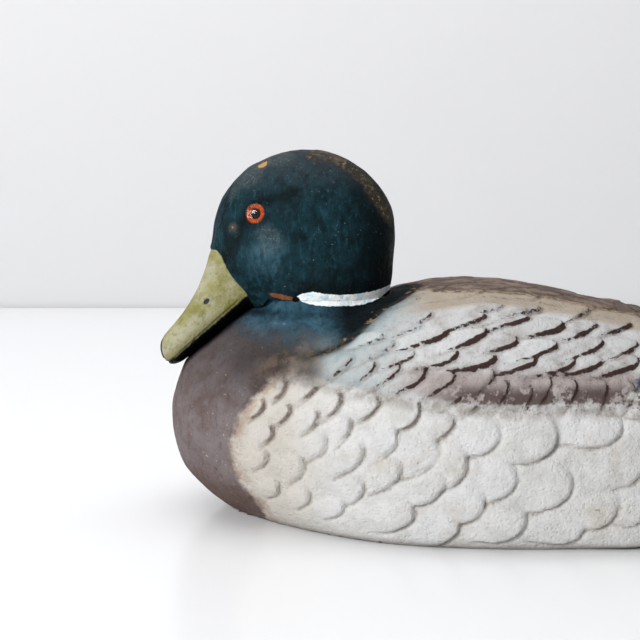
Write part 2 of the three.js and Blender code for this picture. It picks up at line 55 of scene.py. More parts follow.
NOSE_X = -196
STERN_X = 200
BREAST_ROUNDING = 50
TAIL_ROUNDING = 12
SEAM_Z = 108
SEAM_OPEN = 0.08  # what shows of the joint between the neck and the head
SEAT_R = 33
HEAD_FOOT_R = 34.3
NECK_X = -118.5
NECK_RX = 31.3
NECK_RY = 28.3
BOARD = 12  # thickness of the bottom board
RIM = 7  # wall around the board
LEDGE = 9  # width of the shelf that the board is screwed to
LEDGE_TOP = 26
WALL = 5
ON_SURFACE = 0.03  # a point this near to a smooth surface belongs to it
RING_POINTS = 290
RING_OVAL = 1.3  # how much flatter than even the rays of a ring are cast

# Hull sections: x, half-width, back height, depth of the lower lobe, height of the widest point, and
# how square the upper and lower halves are.
SECTIONS = np.array([
    (-196, 50, 94, 53, 48, 2.5, 2.1),
    (-165, 55, 91, 53, 48, 2.5, 2.1),
    (-148, 59, 93, 54, 48, 2.6, 2.2),
    (-119, 69, 100, 60, 48, 2.6, 2.7),
    (-87, 77, 109, 69, 48, 2.5, 3.0),
    (-50, 81.5, 114.6, 75, 48, 2.4, 3.0),
    (-15, 82, 111.8, 75, 47, 2.4, 3.0),
    (30, 79.5, 102, 72, 46, 2.3, 2.9),
    (80, 67.5, 92, 62, 46, 2.2, 2.7),
    (120, 54, 84, 49, 49, 2.2, 2.4),
    (150, 43, 80, 32, 56, 2.3, 2.3),
    (175, 35, 80, 18, 66, 2.5, 2.4),
    (200, 31, 86, 6, 80, 2.6, 2.5),
])
WIDE, BACK, DEEP, WAIST, SHOULDER, BILGE = range(1, 7)

# Neck: height, how much wider than its top it is there, and how far ahead of its top.
NECK_FLARE = np.array([
    (66, 1.5, 25.5),
    (74, 1.47, 24.5),
    (80, 1.44, 19),
    (87, 1.4, 12.1),
    (92, 1.312, 9.1),
    (97, 1.21, 6.2),
    (102, 1.085, 0.8),
    (105, 1.035, 0.2),
    (108, 1.0, 0),
])

# Bill, along its own axis: distance from its root, upper and lower surface, half-width.
BILL = np.array([
    (-14, 25, -10.5, 15),
    (0, 23.2, -11.4, 15),
    (8, 19, -10.8, 13.6),
    (18, 14.3, -9.6, 12.4),
    (29, 11, -8.8, 12.1),
    (42, 8.8, -8, 12.6),
    (54.6, 7, -7.4, 12.4),
])
BILL_ROOT = (-160, 113)
BILL_ANGLE = math.radians(43.1)
BILL_EDGE = -2.5
BILL_START = -16
BILL_LENGTH = 54.6
BILL_ROUNDING = 9

EYE = (-152.5, 149.8, 5.0)

# ---- small maths


def along(rows, column, where):
    """A smooth curve through one column of rows, against their first column."""
    at = np.clip(where, rows[0, 0], rows[-1, 0])
    i = np.clip(np.searchsorted(rows[:, 0], at) - 1, 0, len(rows) - 2)
    before = np.maximum(np.arange(len(rows)) - 1, 0)
    after = np.minimum(np.arange(len(rows)) + 1, len(rows) - 1)
    slope = (rows[after, column] - rows[before, column]) / (rows[after, 0] - rows[before, 0])
    span = rows[i + 1, 0] - rows[i, 0]
    t = (at - rows[i, 0]) / span
    rise = rows[i + 1, column] - rows[i, column]
    ends = slope[i] * span * t * (1 - t) ** 2 - slope[i + 1] * span * t * t * (1 - t)
    return rows[i, column] + rise * t * t * (3 - 2 * t) + ends


def smooth(low, high, value):
    t = np.clip((value - low) / (high - low), 0, 1)
    return t * t * (3 - 2 * t)


def mix(a, b, share):
    return a + (b - a) * share


def bell(value, width):
    return np.exp(-((value / width) ** 2))


def unit(vectors):
    return vectors / np.maximum(np.linalg.norm(vectors, axis=-1, keepdims=True), 1e-9)


def soft_union(a, b, k):
    h = np.maximum(k - np.abs(a - b), 0) / k
    return np.minimum(a, b) - h * h * k / 4


def oval_gap(u, v, ru, rv, power):
    reach = np.hypot(u, v)
    size = (np.abs(u / ru) ** power + np.abs(v / rv) ** power) ** (1 / power)
    return np.where(reach < 1e-6, -np.minimum(ru, rv), reach * (1 - 1 / np.maximum(size, 1e-9)))


def ellipsoid_gap(x, y, z, rx, ry, rz):
    reach = np.sqrt(x * x + y * y + z * z)
    size = np.sqrt((x / rx) ** 2 + (y / ry) ** 2 + (z / rz) ** 2)
    return np.where(size < 1e-6, -min(rx, ry, rz), reach * (1 - 1 / np.maximum(size, 1e-9)))


def rounded_end(distance, length):
    s = np.clip(distance / length, 0, 1)
    return np.sqrt(1 - (1 - s) ** 2)


def lattice(ix, iy, iz, seed):
    """A fixed pseudo-random number from 0 to 1 at each whole-number place."""
    n = ix * 374761393 + iy * 668265263 + iz * 2147483647 + seed * 144665
    n = (n ^ (n >> 13)) * 1274126177
    n = n ^ (n >> 16)
    return (n & 0xFFFF) / 65535.0


def noise(p, size, seed=0):
    """Smooth noise from -1 to 1 over points in mm, with features of about `size`."""
    q = p / size
    base = np.floor(q).astype(np.int64)
    f = q - base
    f = f * f * (3 - 2 * f)
    total = np.zeros(len(p))
    for corner in range(8):
        step = np.array([(corner >> k) & 1 for k in range(3)])
        weight = np.prod(np.where(step, f, 1 - f), axis=1)
        cell = base + step
        total += weight * lattice(cell[:, 0], cell[:, 1], cell[:, 2], seed)
    return total * 2 - 1


# ---- base surfaces


def hull_at(x):
    end = rounded_end(x - NOSE_X, BREAST_ROUNDING) * rounded_end(STERN_X - x, TAIL_ROUNDING)
    waist = along(SECTIONS, WAIST, x)
    return {
        "waist": waist,
        "wide": along(SECTIONS, WIDE, x) * end,
        "up": (along(SECTIONS, BACK, x) - waist) * end,
        "down": along(SECTIONS, DEEP, x) * end,
        "shoulder": along(SECTIONS, SHOULDER, x),
        "bilge": along(SECTIONS, BILGE, x),
    }


def hull_gap(x, y, z):
    inside = (x > NOSE_X) & (x < STERN_X)
    h = hull_at(np.clip(x, NOSE_X + 1e-3, STERN_X - 1e-3))
    rise = z - h["waist"]
    upper = oval_gap(y, rise, h["wide"], h["up"], h["shoulder"])
    lower = oval_gap(y, rise, h["wide"], h["down"], h["bilge"])
    return np.where(inside, np.where(rise > 0, upper, lower), 50.0)


def grounded_hull_gap(x, y, z):
    return np.maximum(hull_gap(x, y, z), -z)


def neck_gap(x, y, z):
    grow = along(NECK_FLARE, 1, z)
    middle = NECK_X - along(NECK_FLARE, 2, z)
    gap = oval_gap(x - middle, y, NECK_RX * grow, NECK_RY * grow, 2)
    return np.maximum(gap, np.maximum(z - SEAM_Z - 6, NECK_FLARE[0, 0] - z))


def body_gap(x, y, z):
    return np.maximum(soft_union(hull_gap(x, y, z), neck_gap(x, y, z), 4.5), -z)


def bill_place(x, z):
    """Distance along the bill's axis, and height above that axis."""
    dx = x - BILL_ROOT[0]
    dz = z - BILL_ROOT[1]
    s = -dx * math.cos(BILL_ANGLE) - dz * math.sin(BILL_ANGLE)
    return s, -dx * math.sin(BILL_ANGLE) + dz * math.cos(BILL_ANGLE)


def bill_gap(x, y, z):
    s, rise = bill_place(x, z)
    inside = (s > BILL_START) & (s < BILL_LENGTH)
    s = np.clip(s, BILL_START + 1e-3, BILL_LENGTH - 1e-3)
    end = rounded_end(BILL_LENGTH - s, BILL_ROUNDING) * rounded_end(s - BILL_START, BILL_ROUNDING)
    rise = rise - BILL_EDGE
    above = along(BILL, 1, s) - BILL_EDGE
    below = BILL_EDGE - along(BILL, 2, s)
    reach = np.where(rise > 0, above, below) * end
    return np.where(inside, oval_gap(y, rise, along(BILL, 3, s) * end, reach, 2.3), 50.0)


def head_gap(x, y, z):
    gap = ellipsoid_gap(x + 128.6, y, z - 137, 45.3, 29.5, 43)
    gap = soft_union(gap, ellipsoid_gap(x - NECK_X, y, z - 112, 32, 28.5, 26), 10)
    gap = soft_union(gap, ellipsoid_gap(x + 147, np.abs(y) - 13, z - 128, 19, 13, 14), 6)
    return soft_union(gap, bill_gap(x, y, z), 4)


def out_to(gap, start, way):
    """The points where rays from inside leave a surface."""
    near = np.zeros(len(way))
    far = np.full(len(way), 260.0)
    for _ in range(24):
        middle = (near + far) / 2
        inside = gap(*(start + way * middle[:, None]).T) < 0
        near = np.where(inside, middle, near)
        far = np.where(inside, far, middle)
    return start + way * near[:, None]


def normals_of(gap, p):
    steps = np.eye(3) * 0.05
    return unit(np.stack([gap(*(p + e).T) - gap(*(p - e).T) for e in steps], axis=1))


# ---- wrapped grid


def fan_frames(spine, ahead, up, front_rings, back_rings):
    """Ring frames along a spine, with rings that fan out over each end down to a pole."""
    rows = []
    last = len(spine) - 1
    for i in range(-front_rings, last + 1 + back_rings):
        j = min(max(i, 0), last)
        lift = 0.0
        if i < 0:
            lift = i / front_rings * math.pi / 2
        elif i > last:
            lift = (i - last) / back_rings * math.pi / 2
        rows.append((spine[j], ahead[j], up[j], lift))
    return rows


def ring_ways(row, turns, oval):
    _, ahead, up, lift = row
    side = np.cross(ahead, up)
    way = unit(np.cos(turns)[:, None] * side * oval + np.sin(turns)[:, None] * up)
    return way * math.cos(lift) + ahead * math.sin(lift)


def wrap(gap, rows, around, oval=1.0, floor_weight=1.0):
    """A closed grid of points on a surface, evenly spread around each ring, with a pole at each end.
    `floor_weight` says how much of a ring's points the flat bottom gets."""
    inner = rows[1:-1]
    count = len(inner)

    def cast(turns):
        starts = np.repeat(np.array([r[0] for r in inner]), len(turns[0]), axis=0)
        return out_to(gap, starts, np.concatenate([ring_ways(r, t, oval) for r, t in zip(inner, turns)]))

    coarse = np.linspace(0, 2 * math.pi, 181)
    turns = []
    for ring in cast([coarse] * count).reshape(count, len(coarse), 3):
        step = np.linalg.norm(np.diff(ring, axis=0), axis=1)
        low = (ring[1:, 2] + ring[:-1, 2]) / 2 < 0.3
        step = step * np.where(low, floor_weight, 1.0) + 1e-6
        way_round = np.concatenate([[0], np.cumsum(step)])
        wanted = np.linspace(0, way_round[-1], around, endpoint=False)
        turns.append(np.interp(wanted, way_round, coarse))
    grid = cast(turns)
    poles = [out_to(gap, r[0][None], (r[1] * math.copysign(1, r[3]))[None]) for r in (rows[0], rows[-1])]
    faces = []
    last = (count - 1) * around
    for j in range(around):
        k = (j + 1) % around
        faces += [(a + j, a + k, a + around + k, a + around + j) for a in range(0, last, around)]
        faces += [(len(grid), k, j), (len(grid) + 1, last + j, last + k)]
    return np.concatenate([grid, *poles]), faces


def new_mesh(name, points, faces):
    mesh = bpy.data.meshes.new(name)
    mesh.from_pydata((np.asarray(points) * MM).tolist(), [], faces)
    mesh.update()
    made = bpy.data.objects.new(name, mesh)
    bpy.context.scene.collection.objects.link(made)
    return made


def face_out(made):
    """Turns a closed mesh's faces outwards."""
    bm = bmesh.new()
    bm.from_mesh(made.data)
    if bm.calc_volume(signed=True) < 0:
        bmesh.ops.reverse_faces(bm, faces=bm.faces)
    bm.to_mesh(made.data)
    bm.free()
    return made


def combine(made, other, how):
    """Joins, cuts or keeps what two solids share, and removes the second."""
    modifier = made.modifiers.new("cut", "BOOLEAN")
    modifier.object = other
    modifier.operation = how
    modifier.solver = "MANIFOLD"
    depsgraph = bpy.context.evaluated_depsgraph_get()
    mesh = bpy.data.meshes.new_from_object(made.evaluated_get(depsgraph))
    made.modifiers.clear()
    made.data = mesh
    bpy.data.objects.remove(other)
    return made


def drum(radius, low, high, x=0, sides=64):
    """A closed upright cylinder on the middle plane, as a cutter."""
    turn = np.linspace(0, 2 * math.pi, sides, endpoint=False)
    return prism(np.stack([x + radius * np.cos(turn), radius * np.sin(turn)], axis=1), low, high)


def prism(outline, low, high):
    count = len(outline)
    points = [(x, y, z) for z in (low, high) for x, y in outline]
    faces = [tuple(range(count))[::-1], tuple(range(count, 2 * count))]
    faces += [(i, (i + 1) % count, count + (i + 1) % count, count + i) for i in range(count)]
    return face_out(new_mesh("cutter", points, faces))


def points_of(made):
    p = np.empty(len(made.data.vertices) * 3)
    made.data.vertices.foreach_get("co", p)
    return p.reshape(-1, 3) / MM


def put_points(made, p):
    made.data.vertices.foreach_set("co", (p * MM).ravel())
    made.data.update()


def put_layer(made, name, values):
    layer = made.data.attributes.new(name, "FLOAT", "POINT")
    layer.data.foreach_set("value", np.asarray(values, dtype=np.float32))


def shade(made, angle=50):
    made.data.polygons.foreach_set("use_smooth", [True] * len(made.data.polygons))
    made.data.set_sharp_from_angle(angle=math.radians(angle))
    made.data.update()


# ---- the body's mesh

X = np.array([1.0, 0.0, 0.0])
Z = np.array([0.0, 0.0, 1.0])


def spine_height(x):
    return np.where(x < 110, 46.0, along(SECTIONS, WAIST, x) + 2)


def hull_rows(front, back, step, front_rings, back_rings, rear_step=None):
    """Frames along the hull. The seen front half may have finer steps than the rear."""
    x = np.concatenate([np.arange(front, 0.0, step), np.arange(0.0, back + 0.1, rear_step or step)])
    spine = np.stack([x, 0 * x, spine_height(x)], axis=1)
    return fan_frames(spine, [X] * len(x), [Z] * len(x), front_rings, back_rings)


def bottom_outline(inset, count):
    """The hull's outline on the ground, drawn in by `inset`."""
    turn = np.linspace(0, 2 * math.pi, count, endpoint=False)
    way = unit(np.stack([np.cos(turn) * 1.8, np.sin(turn), 0 * turn], axis=1))
    start = np.tile([-25.0, 0, 0], (count, 1))
    edge = out_to(hull_gap, start, way)[:, :2]
    tangent = unit(np.roll(edge, -1, axis=0) - np.roll(edge, 1, axis=0))
    return edge + inset * np.stack([-tangent[:, 1], tangent[:, 0]], axis=1)


def body_solid():
    """The body as a closed shell: fine outside, plain inside, open for the board and the neck."""
    rows = hull_rows(-150, 186, step=1.12, front_rings=66, back_rings=16, rear_step=1.5)
    body = new_mesh("decoy_body", *wrap(body_gap, rows, RING_POINTS, RING_OVAL, floor_weight=0.12))
    face_out(body)
    rows = hull_rows(-150, 140, step=8, front_rings=9, back_rings=6)
    points, faces = wrap(hull_gap, rows, around=40)
    points = points - normals_of(hull_gap, points) * WALL
    hollow = face_out(new_mesh("cutter", points, faces))
    above_ledge = prism([(NOSE_X - 4, -90), (140, -90), (140, 90), (NOSE_X - 4, 90)], LEDGE_TOP - 1, 300)
    combine(hollow, above_ledge, "INTERSECT")
    combine(hollow, prism(bottom_outline(RIM + LEDGE, 72), BOARD, LEDGE_TOP), "UNION")
    combine(hollow, prism(bottom_outline(RIM - 0.3, 132), -5, BOARD + 0.3), "UNION")
    # The neck block's room, the bolt's bore, the washer's recess and the seat that the head stands on.
    for radius, low, high, sides in ((20.3, 62, 98.3, 64), (4.4, 60, 125, 24),
                                     (14.3, SEAM_Z - 2.1, 125, 48), (SEAT_R, SEAM_Z, 150, 160)):
        combine(hollow, drum(radius, low, high, NECK_X, sides), "UNION")
    return combine(body, hollow, "DIFFERENCE")


# ---- places on the hull


class Girth:
    """Distance over the hull from the middle of the back, down each section."""

    def __init__(self):
        self.xs = np.arange(-190.0, 199.0, 1.0)
        self.turns = np.linspace(math.pi / 2, -math.pi / 2, 181)
        arcs = []
        self.sections = []
        for x in self.xs:
            start = np.array([x, 0, float(spine_height(x))])
            way = ring_ways((start, X, Z, 0.0), self.turns, RING_OVAL)
            way[:, 1] = np.abs(way[:, 1])
            ring = out_to(grounded_hull_gap, np.tile(start, (len(way), 1)), way)
            arcs.append(np.concatenate([[0], np.cumsum(np.linalg.norm(np.diff(ring, axis=0), axis=1))]))
            self.sections.append(ring)
        self.arcs = np.array(arcs)

    def row(self, x):
        return int(np.clip(round(x - self.xs[0]), 0, len(self.xs) - 1))

    def place(self, x, down, side=-1):
        """The point at x, `down` mm over the back, on the left (-1) or right (1)."""
        i = self.row(x)
        p = [np.interp(down, self.arcs[i], self.sections[i][:, k]) for k in range(3)]
        return np.array([x, side * abs(p[1]), p[2]])

    def ways(self, x, down, side=-1):
        """Two square directions in the surface: towards the tail, and down over the side."""
        aft = unit(self.place(x + 2, down, side) - self.place(x - 2, down, side))
        over = self.place(x, down + 2, side) - self.place(x, down - 2, side)
        return aft, unit(over - aft * (over @ aft))

    def turn_for(self, x, down, slope):
        """The turn in the surface that has this slope, in degrees, when seen from the side."""
        aft, over = self.ways(x, down)
        m = math.tan(math.radians(slope))
        return math.degrees(math.atan((aft[2] - m * aft[0]) / (over[2] - m * over[0])))

    def at_height(self, x, z):
        """How far over the back the hull's side at this height is."""
        i = self.row(x)
        return float(np.interp(-z, -self.sections[i][:, 2], self.arcs[i]))

    def of(self, p):
        """How far over the back each point is."""
        start = spine_height(p[:, 0])
        turn = np.arctan2((p[:, 2] - start) * RING_OVAL, np.abs(p[:, 1]))
        i = np.clip(p[:, 0] - self.xs[0], 0, len(self.xs) - 1.001)
        j = np.clip((math.pi / 2 - turn) / math.pi * 180, 0, 179.999)
        i0, j0 = i.astype(int), j.astype(int)
        fi, fj = i - i0, j - j0
        a = self.arcs
        low = mix(a[i0, j0], a[i0, j0 + 1], fj)
        high = mix(a[i0 + 1, j0], a[i0 + 1, j0 + 1], fj)
        return mix(low, high, fi)


girth = Girth()

# ---- feathers


class Feather:
    """One embossed feather, `length` long to its tip and 2 * `half` wide. It stands `lift` above what
    it overlaps, and `ink` says how dark the paint is along its lower edge."""

    def __init__(self, x, down, side, turn, length, half, lift, ink, tip=0.55, point=2.0):
        self.tip_at = girth.place(x, down, side)
        aft, over = girth.ways(x, down, side)
        turn = math.radians(turn)
        self.along = math.cos(turn) * aft - math.sin(turn) * over
        self.across = math.sin(turn) * aft + math.cos(turn) * over
        self.out = np.cross(self.along, self.across)
        self.length, self.half = length, half
        self.lift, self.ink, self.tip, self.point = lift, ink, tip * length, point


def emboss(p, feathers, rng):
    """Lays feathers over the points, the last on top. Gives height, distance from the nearest showing
    edge, how dark that edge is painted, a number for the feather that shows, and how far each point is in
    the fold under a feather's edge."""
    height = np.zeros(len(p))
    seam = np.full(len(p), 6.0)
    ink = np.zeros(len(p))
    tone = np.full(len(p), 0.5)
    fold = np.zeros(len(p))
    for f in feathers:
        d = p - (f.tip_at - f.along * f.length * 0.5)
        near = np.flatnonzero(np.einsum("ij,ij->i", d, d) < (f.length * 0.62 + f.half + 5) ** 2)
        d = d[near]
        facing = np.abs(d @ f.out) < 0.75 * f.half + 9
        near, d = near[facing], d[facing]
        if not len(near):
            continue
        s = d @ f.along - f.length * 0.5
        v = d @ f.across
        wobble = noise(p[near], 6.0, 11) * 0.55 + noise(p[near], 2.8, 12) * 0.25
        end = np.maximum((s + f.tip) / f.tip, 0)
        wide = np.abs(v) / f.half
        size = (end ** f.point + wide ** f.point) ** (1 / f.point)
        pull = np.hypot(end ** (f.point - 1) / f.tip, wide ** (f.point - 1) / f.half)
        pull *= np.maximum(size, 0.2) ** (1 - f.point)
        edge = (1 - size) / np.maximum(pull, 0.04) + wobble
        behind = smooth(-f.length, -0.72 * f.length, s)
        lean = v / f.half
        soft = mix(1.9, 0.6, smooth(-0.6, 0.1, lean))
        cover = smooth(-soft, soft, edge) * behind
        rise = smooth(-f.length, -0.1 * f.length, s)
        crown = 0.92 + 0.2 * lean - 0.3 * np.minimum(wide, 1.2) ** 2
        lift = f.lift * (0.2 + 0.8 * rise) * crown * rng.uniform(0.85, 1.15)
        below = bell(edge + 1.1, 1.1) * behind * smooth(-0.9, 0.3, lean) * (1 - cover)
        height[near] = mix(height[near], lift, cover) - 0.45 * f.lift * below
        fold[near] = np.maximum(fold[near] * (1 - cover), below)
        dark = f.ink * smooth(-0.45, 0.05, lean) * smooth(-0.85, -0.25, s / f.length)
        closer = np.abs(edge) < np.where(edge > 0, 99.0, seam[near])
        closer &= behind > 0.5
        seam[near] = np.where(closer, np.minimum(np.abs(edge), 6.0), seam[near])
        ink[near] = np.where(closer, dark, ink[near])
        tone[near] = mix(tone[near], rng.random(), cover)
    return height, seam, ink, tone, fold


# Flank scales that show best: where the tip is (x, height) and half the width.
FLANK = [
    (-112, 70, 5), (-95, 69, 5), (-77, 67, 7), (-62, 63, 7), (-42, 56, 8.5), (-16, 54, 12),
    (-122, 62, 4.5), (-108, 59, 5), (-87, 55, 6.5), (-69, 50, 8.5), (-56, 44, 11), (-34, 37, 9.5),
    (-9, 33, 11), (-119, 50, 4.5), (-102, 47, 7), (-86, 40, 7), (-66, 34, 8), (-130, 39, 5),
    (-102, 30, 6), (-48, 25, 8.5), (-79, 19, 7), (-59, 13, 7), (-29, 16, 9), (-127, 23, 4),
    (-111, 20, 4.5), (-141, 26, 4), (-143, 54, 4), (-146, 41, 4), (-3, 12, 9), (-147, 65, 4.2),
    (-135, 63.5, 3.8), (-137, 74, 3.6), (-123, 77, 5),
]


def flank_feathers(rng):
    """Fish-scale rows on the side, growing towards the tail."""
    made = [(x, z, half) for x, z, half in FLANK]
    for row in range(4):
        x = 12.0 + 12 * (row % 2)
        while x < 122:
            made.append((x + rng.uniform(-2, 2), 56 - 17 * row + rng.uniform(-2, 2) + 0.04 * x, 10.5))
            x += 24 * rng.uniform(0.92, 1.08)
    rows = []
    for x, z, half in sorted(made, key=lambda f: 0.5 * f[1] - f[0]):
        lift = 1.2 + 0.09 * half
        lift *= smooth(128, 100, x)
        turn = 9 + rng.uniform(-7, 7)
        ink = np.maximum(0.9 * smooth(50, 72, z), 1.2 * smooth(-128, -134, x) * smooth(46, 62, z)) + 0.1
        rows.append((x, girth.at_height(x, z), turn, 3.0 * half + 3, half * 1.12, lift, ink, 0.5, 2.1))
    return rows


# Shoulder feathers: where the tip is (x, height), length, half-width, slope seen from the side, and how
# heavy the dark stroke along the lower edge is.
WING = [
    (-105.5, 86, 26, 5.2, 24, 0.4), (-95.5, 84, 22, 4.6, 22, 0.5), (-84.5, 82.6, 24, 4.8, 20, 0.75),
    (-73.5, 81, 25, 5, 18, 1.0), (-61, 79.6, 26, 5.2, 16, 1.0), (-54, 77, 22, 5, 22, 0.9),
    (-44, 81, 20, 4.5, 30, 0.5), (-48, 73, 20, 5, 26, 0.7), (-38, 77.5, 18, 5, 42, 0.8),
    (-28, 75.6, 18, 5.5, 44, 0.7), (-19, 79, 18, 5.5, 40, 0.8), (-8, 77, 18, 5.5, 40, 0.8),
    (-78.5, 88, 24, 5, 8, 0.7), (-59, 88.8, 34, 6, 4, 1.0), (-42.5, 86.8, 36, 6.2, 0, 1.2),
    (-24.5, 86.4, 36, 6.2, 0, 1.25), (-7, 85.4, 34, 6.2, 0, 1.0),
    (-91.5, 94.4, 22, 4, 8, 0.5), (-86.5, 92, 30, 4.5, 14, 0.5), (-63.5, 96.2, 36, 5.2, 6, 1.1),
    (-45, 97.8, 32, 5.2, 8, 1.0), (-31.5, 94, 28, 5.2, 6, 1.0), (-14, 92.6, 32, 5.5, 4, 1.0),
    (-74, 99.3, 28, 4.5, 12, 0.5), (-45.5, 103, 46, 5.5, 6, 0.8), (-25, 102.6, 38, 6, 2, 1.0),
    (-9, 99.6, 32, 6.5, 0, 1.25),
    (-69, 104, 24, 4, 18, 0.4), (-36, 106.4, 44, 5.5, 2, 0.4), (-18, 105.8, 44, 5.5, -1, 0.45),
]
# The same rows behind these: height, step, length, half-width, slope, stroke.
WING_ROWS = [
    (77, 12, 18, 5.5, 40, 0.8), (85.5, 17, 35, 6.2, 0, 1.1), (92.5, 17, 32, 5.6, 3, 1.0),
    (99.5, 18, 36, 6, 0, 1.0), (104.5, 22, 42, 5.5, -1, 0.5),
]


def wing_feathers(rng):
    made = list(WING)
    for z, step, length, half, slope, ink in WING_ROWS:
        for x in np.arange(4.0 + rng.uniform(0, 4), 64, step):
            made.append((x, z - 0.07 * x, length, half, slope, ink))
    rows = []
    for x, z, length, half, slope, ink in sorted(made, key=lambda f: 2.5 * f[1] - f[0]):
        z += rng.uniform(-0.4, 0.4)
        down = girth.at_height(x, z)
        turn = girth.turn_for(x, down, slope + rng.uniform(-2, 2))
        rows.append((x, down, turn, length, half, 1.5, ink, 0.62, 1.9))
    return rows


def long_feathers():
    """The long feathers of the folded wing, which lie behind the shoulder rows."""
    rows = []
    for step, down in enumerate((84, 77, 70, 63, 56, 49, 42)):
        for x in (104 + 7 * step, 66 + 6 * step):
            rows.append((x, down - 0.25 * max(x - 70, 0), 8 + 1.5 * step, 76, 6.6, 1.2, 0.8, 0.24, 2.0))
    return rows


def back_feathers(rng):
    rows = []
    for row, down in enumerate((30, 20, 10)):
        places = np.arange(-72.0 + 14 * (row % 2), 140, 28)
        for x in places[::-1]:
            rows.append((x + rng.uniform(-2, 2), down, 0, 38, 8, 0.5, 0.25, 0.4, 2.0))
    return rows


def tail_feathers():
    return [(192 + 1.5 * k, 31 - 8 * k, 4 * k - 10, 54, 6.6, 1.0, 0.8, 0.22, 2.0) for k in range(4)]


def all_feathers():
    feathers = []
    for side in (-1, 1):
        rng = np.random.default_rng(7 if side < 0 else 21)
        groups = (flank_feathers(rng), tail_feathers(), back_feathers(rng), long_feathers(),
                  wing_feathers(rng))
        for group in groups:
            for x, down, *rest in group:
                feathers.append(Feather(x, down, side, *rest))
    return feathers


# ---- zones of the body

# Where the purple breast ends: height and x. The edge of the wing over the flank: x and height.
BREAST_EDGE = np.array([(0, -145), (9, -149), (17, -154), (27, -160), (37, -163), (46, -162),
                        (57, -158), (65, -152), (76, -142), (89, -130), (100, -122)])
WING_EDGE = np.array([(-130, 84), (-121, 76.5), (-110, 74), (-85, 70.5), (-60, 67.5), (-32, 66.5),
                      (0, 67), (40, 64), (80, 62), (115, 66), (140, 72)])
RIDGE_EDGE = np.array([(-90, 5), (-82, 15), (-72, 23), (-59, 32), (-45, 34), (0, 33), (60, 27),
                       (110, 24), (150, 22)])


def body_zones(p):
    """Signed distances in mm into each painted zone, from the undressed surface."""
    x, y, z = p.T
    down = girth.of(p)
    wing = z - along(WING_EDGE, 1, x)
    wing = np.minimum(wing, (x + 129 + 0.35 * (92 - z)) * 1.2)
    neck_r = (np.hypot((x - NECK_X) / NECK_RX, y / NECK_RY) - 1) * 29
    return {
        "down": down,
        "breast": along(BREAST_EDGE, 1, z) - x,
        "wing": wing,
        "ridge": along(RIDGE_EDGE, 1, x) - down,
        "neck_r": neck_r,
        "neck": 24 - 11 * smooth(-108, -88, x) - neck_r,
        "collar": collar_at(x, z),
        "band": band_at(x, z),
    }


def collar_at(x, z):
    return np.minimum(along(COLLAR, 2, x) - z, z - along(COLLAR, 1, x))


def band_at(x, z):
    """The smudged band along the wing's lower edge: 1 in it, 0 away from it."""
    above = z - along(WING_EDGE, 1, x)
    return smooth(-1, 3, above) * smooth(20, 9, above) * smooth(-108, -62, x) * smooth(110, 80, x)


# The neck's white ring: x, and the heights of its lower and upper edges. It is open at the front.
COLLAR = np.array([(-133, 110, 109.5), (-130.5, 107.5, 111.2), (-123.5, 105.8, 112.5), (-117, 105.4, 111.5),
                   (-112, 105.4, 111.0), (-102, 105.6, 111.3), (-93, 107.2, 112.3), (-87, 110.6, 113.6),
                   (-84, 111, 113.8)])


FOOT_ROUND = 1.3  # how far the foot is drawn in at the ground


def foot_spread(x):
    """How far the wall's foot stands out: wider along the sides, tucked under the breast."""
    return 2.8 * smooth(-160, -140, x) * smooth(190, 160, x) - 4.2 * smooth(-138, -160, x)


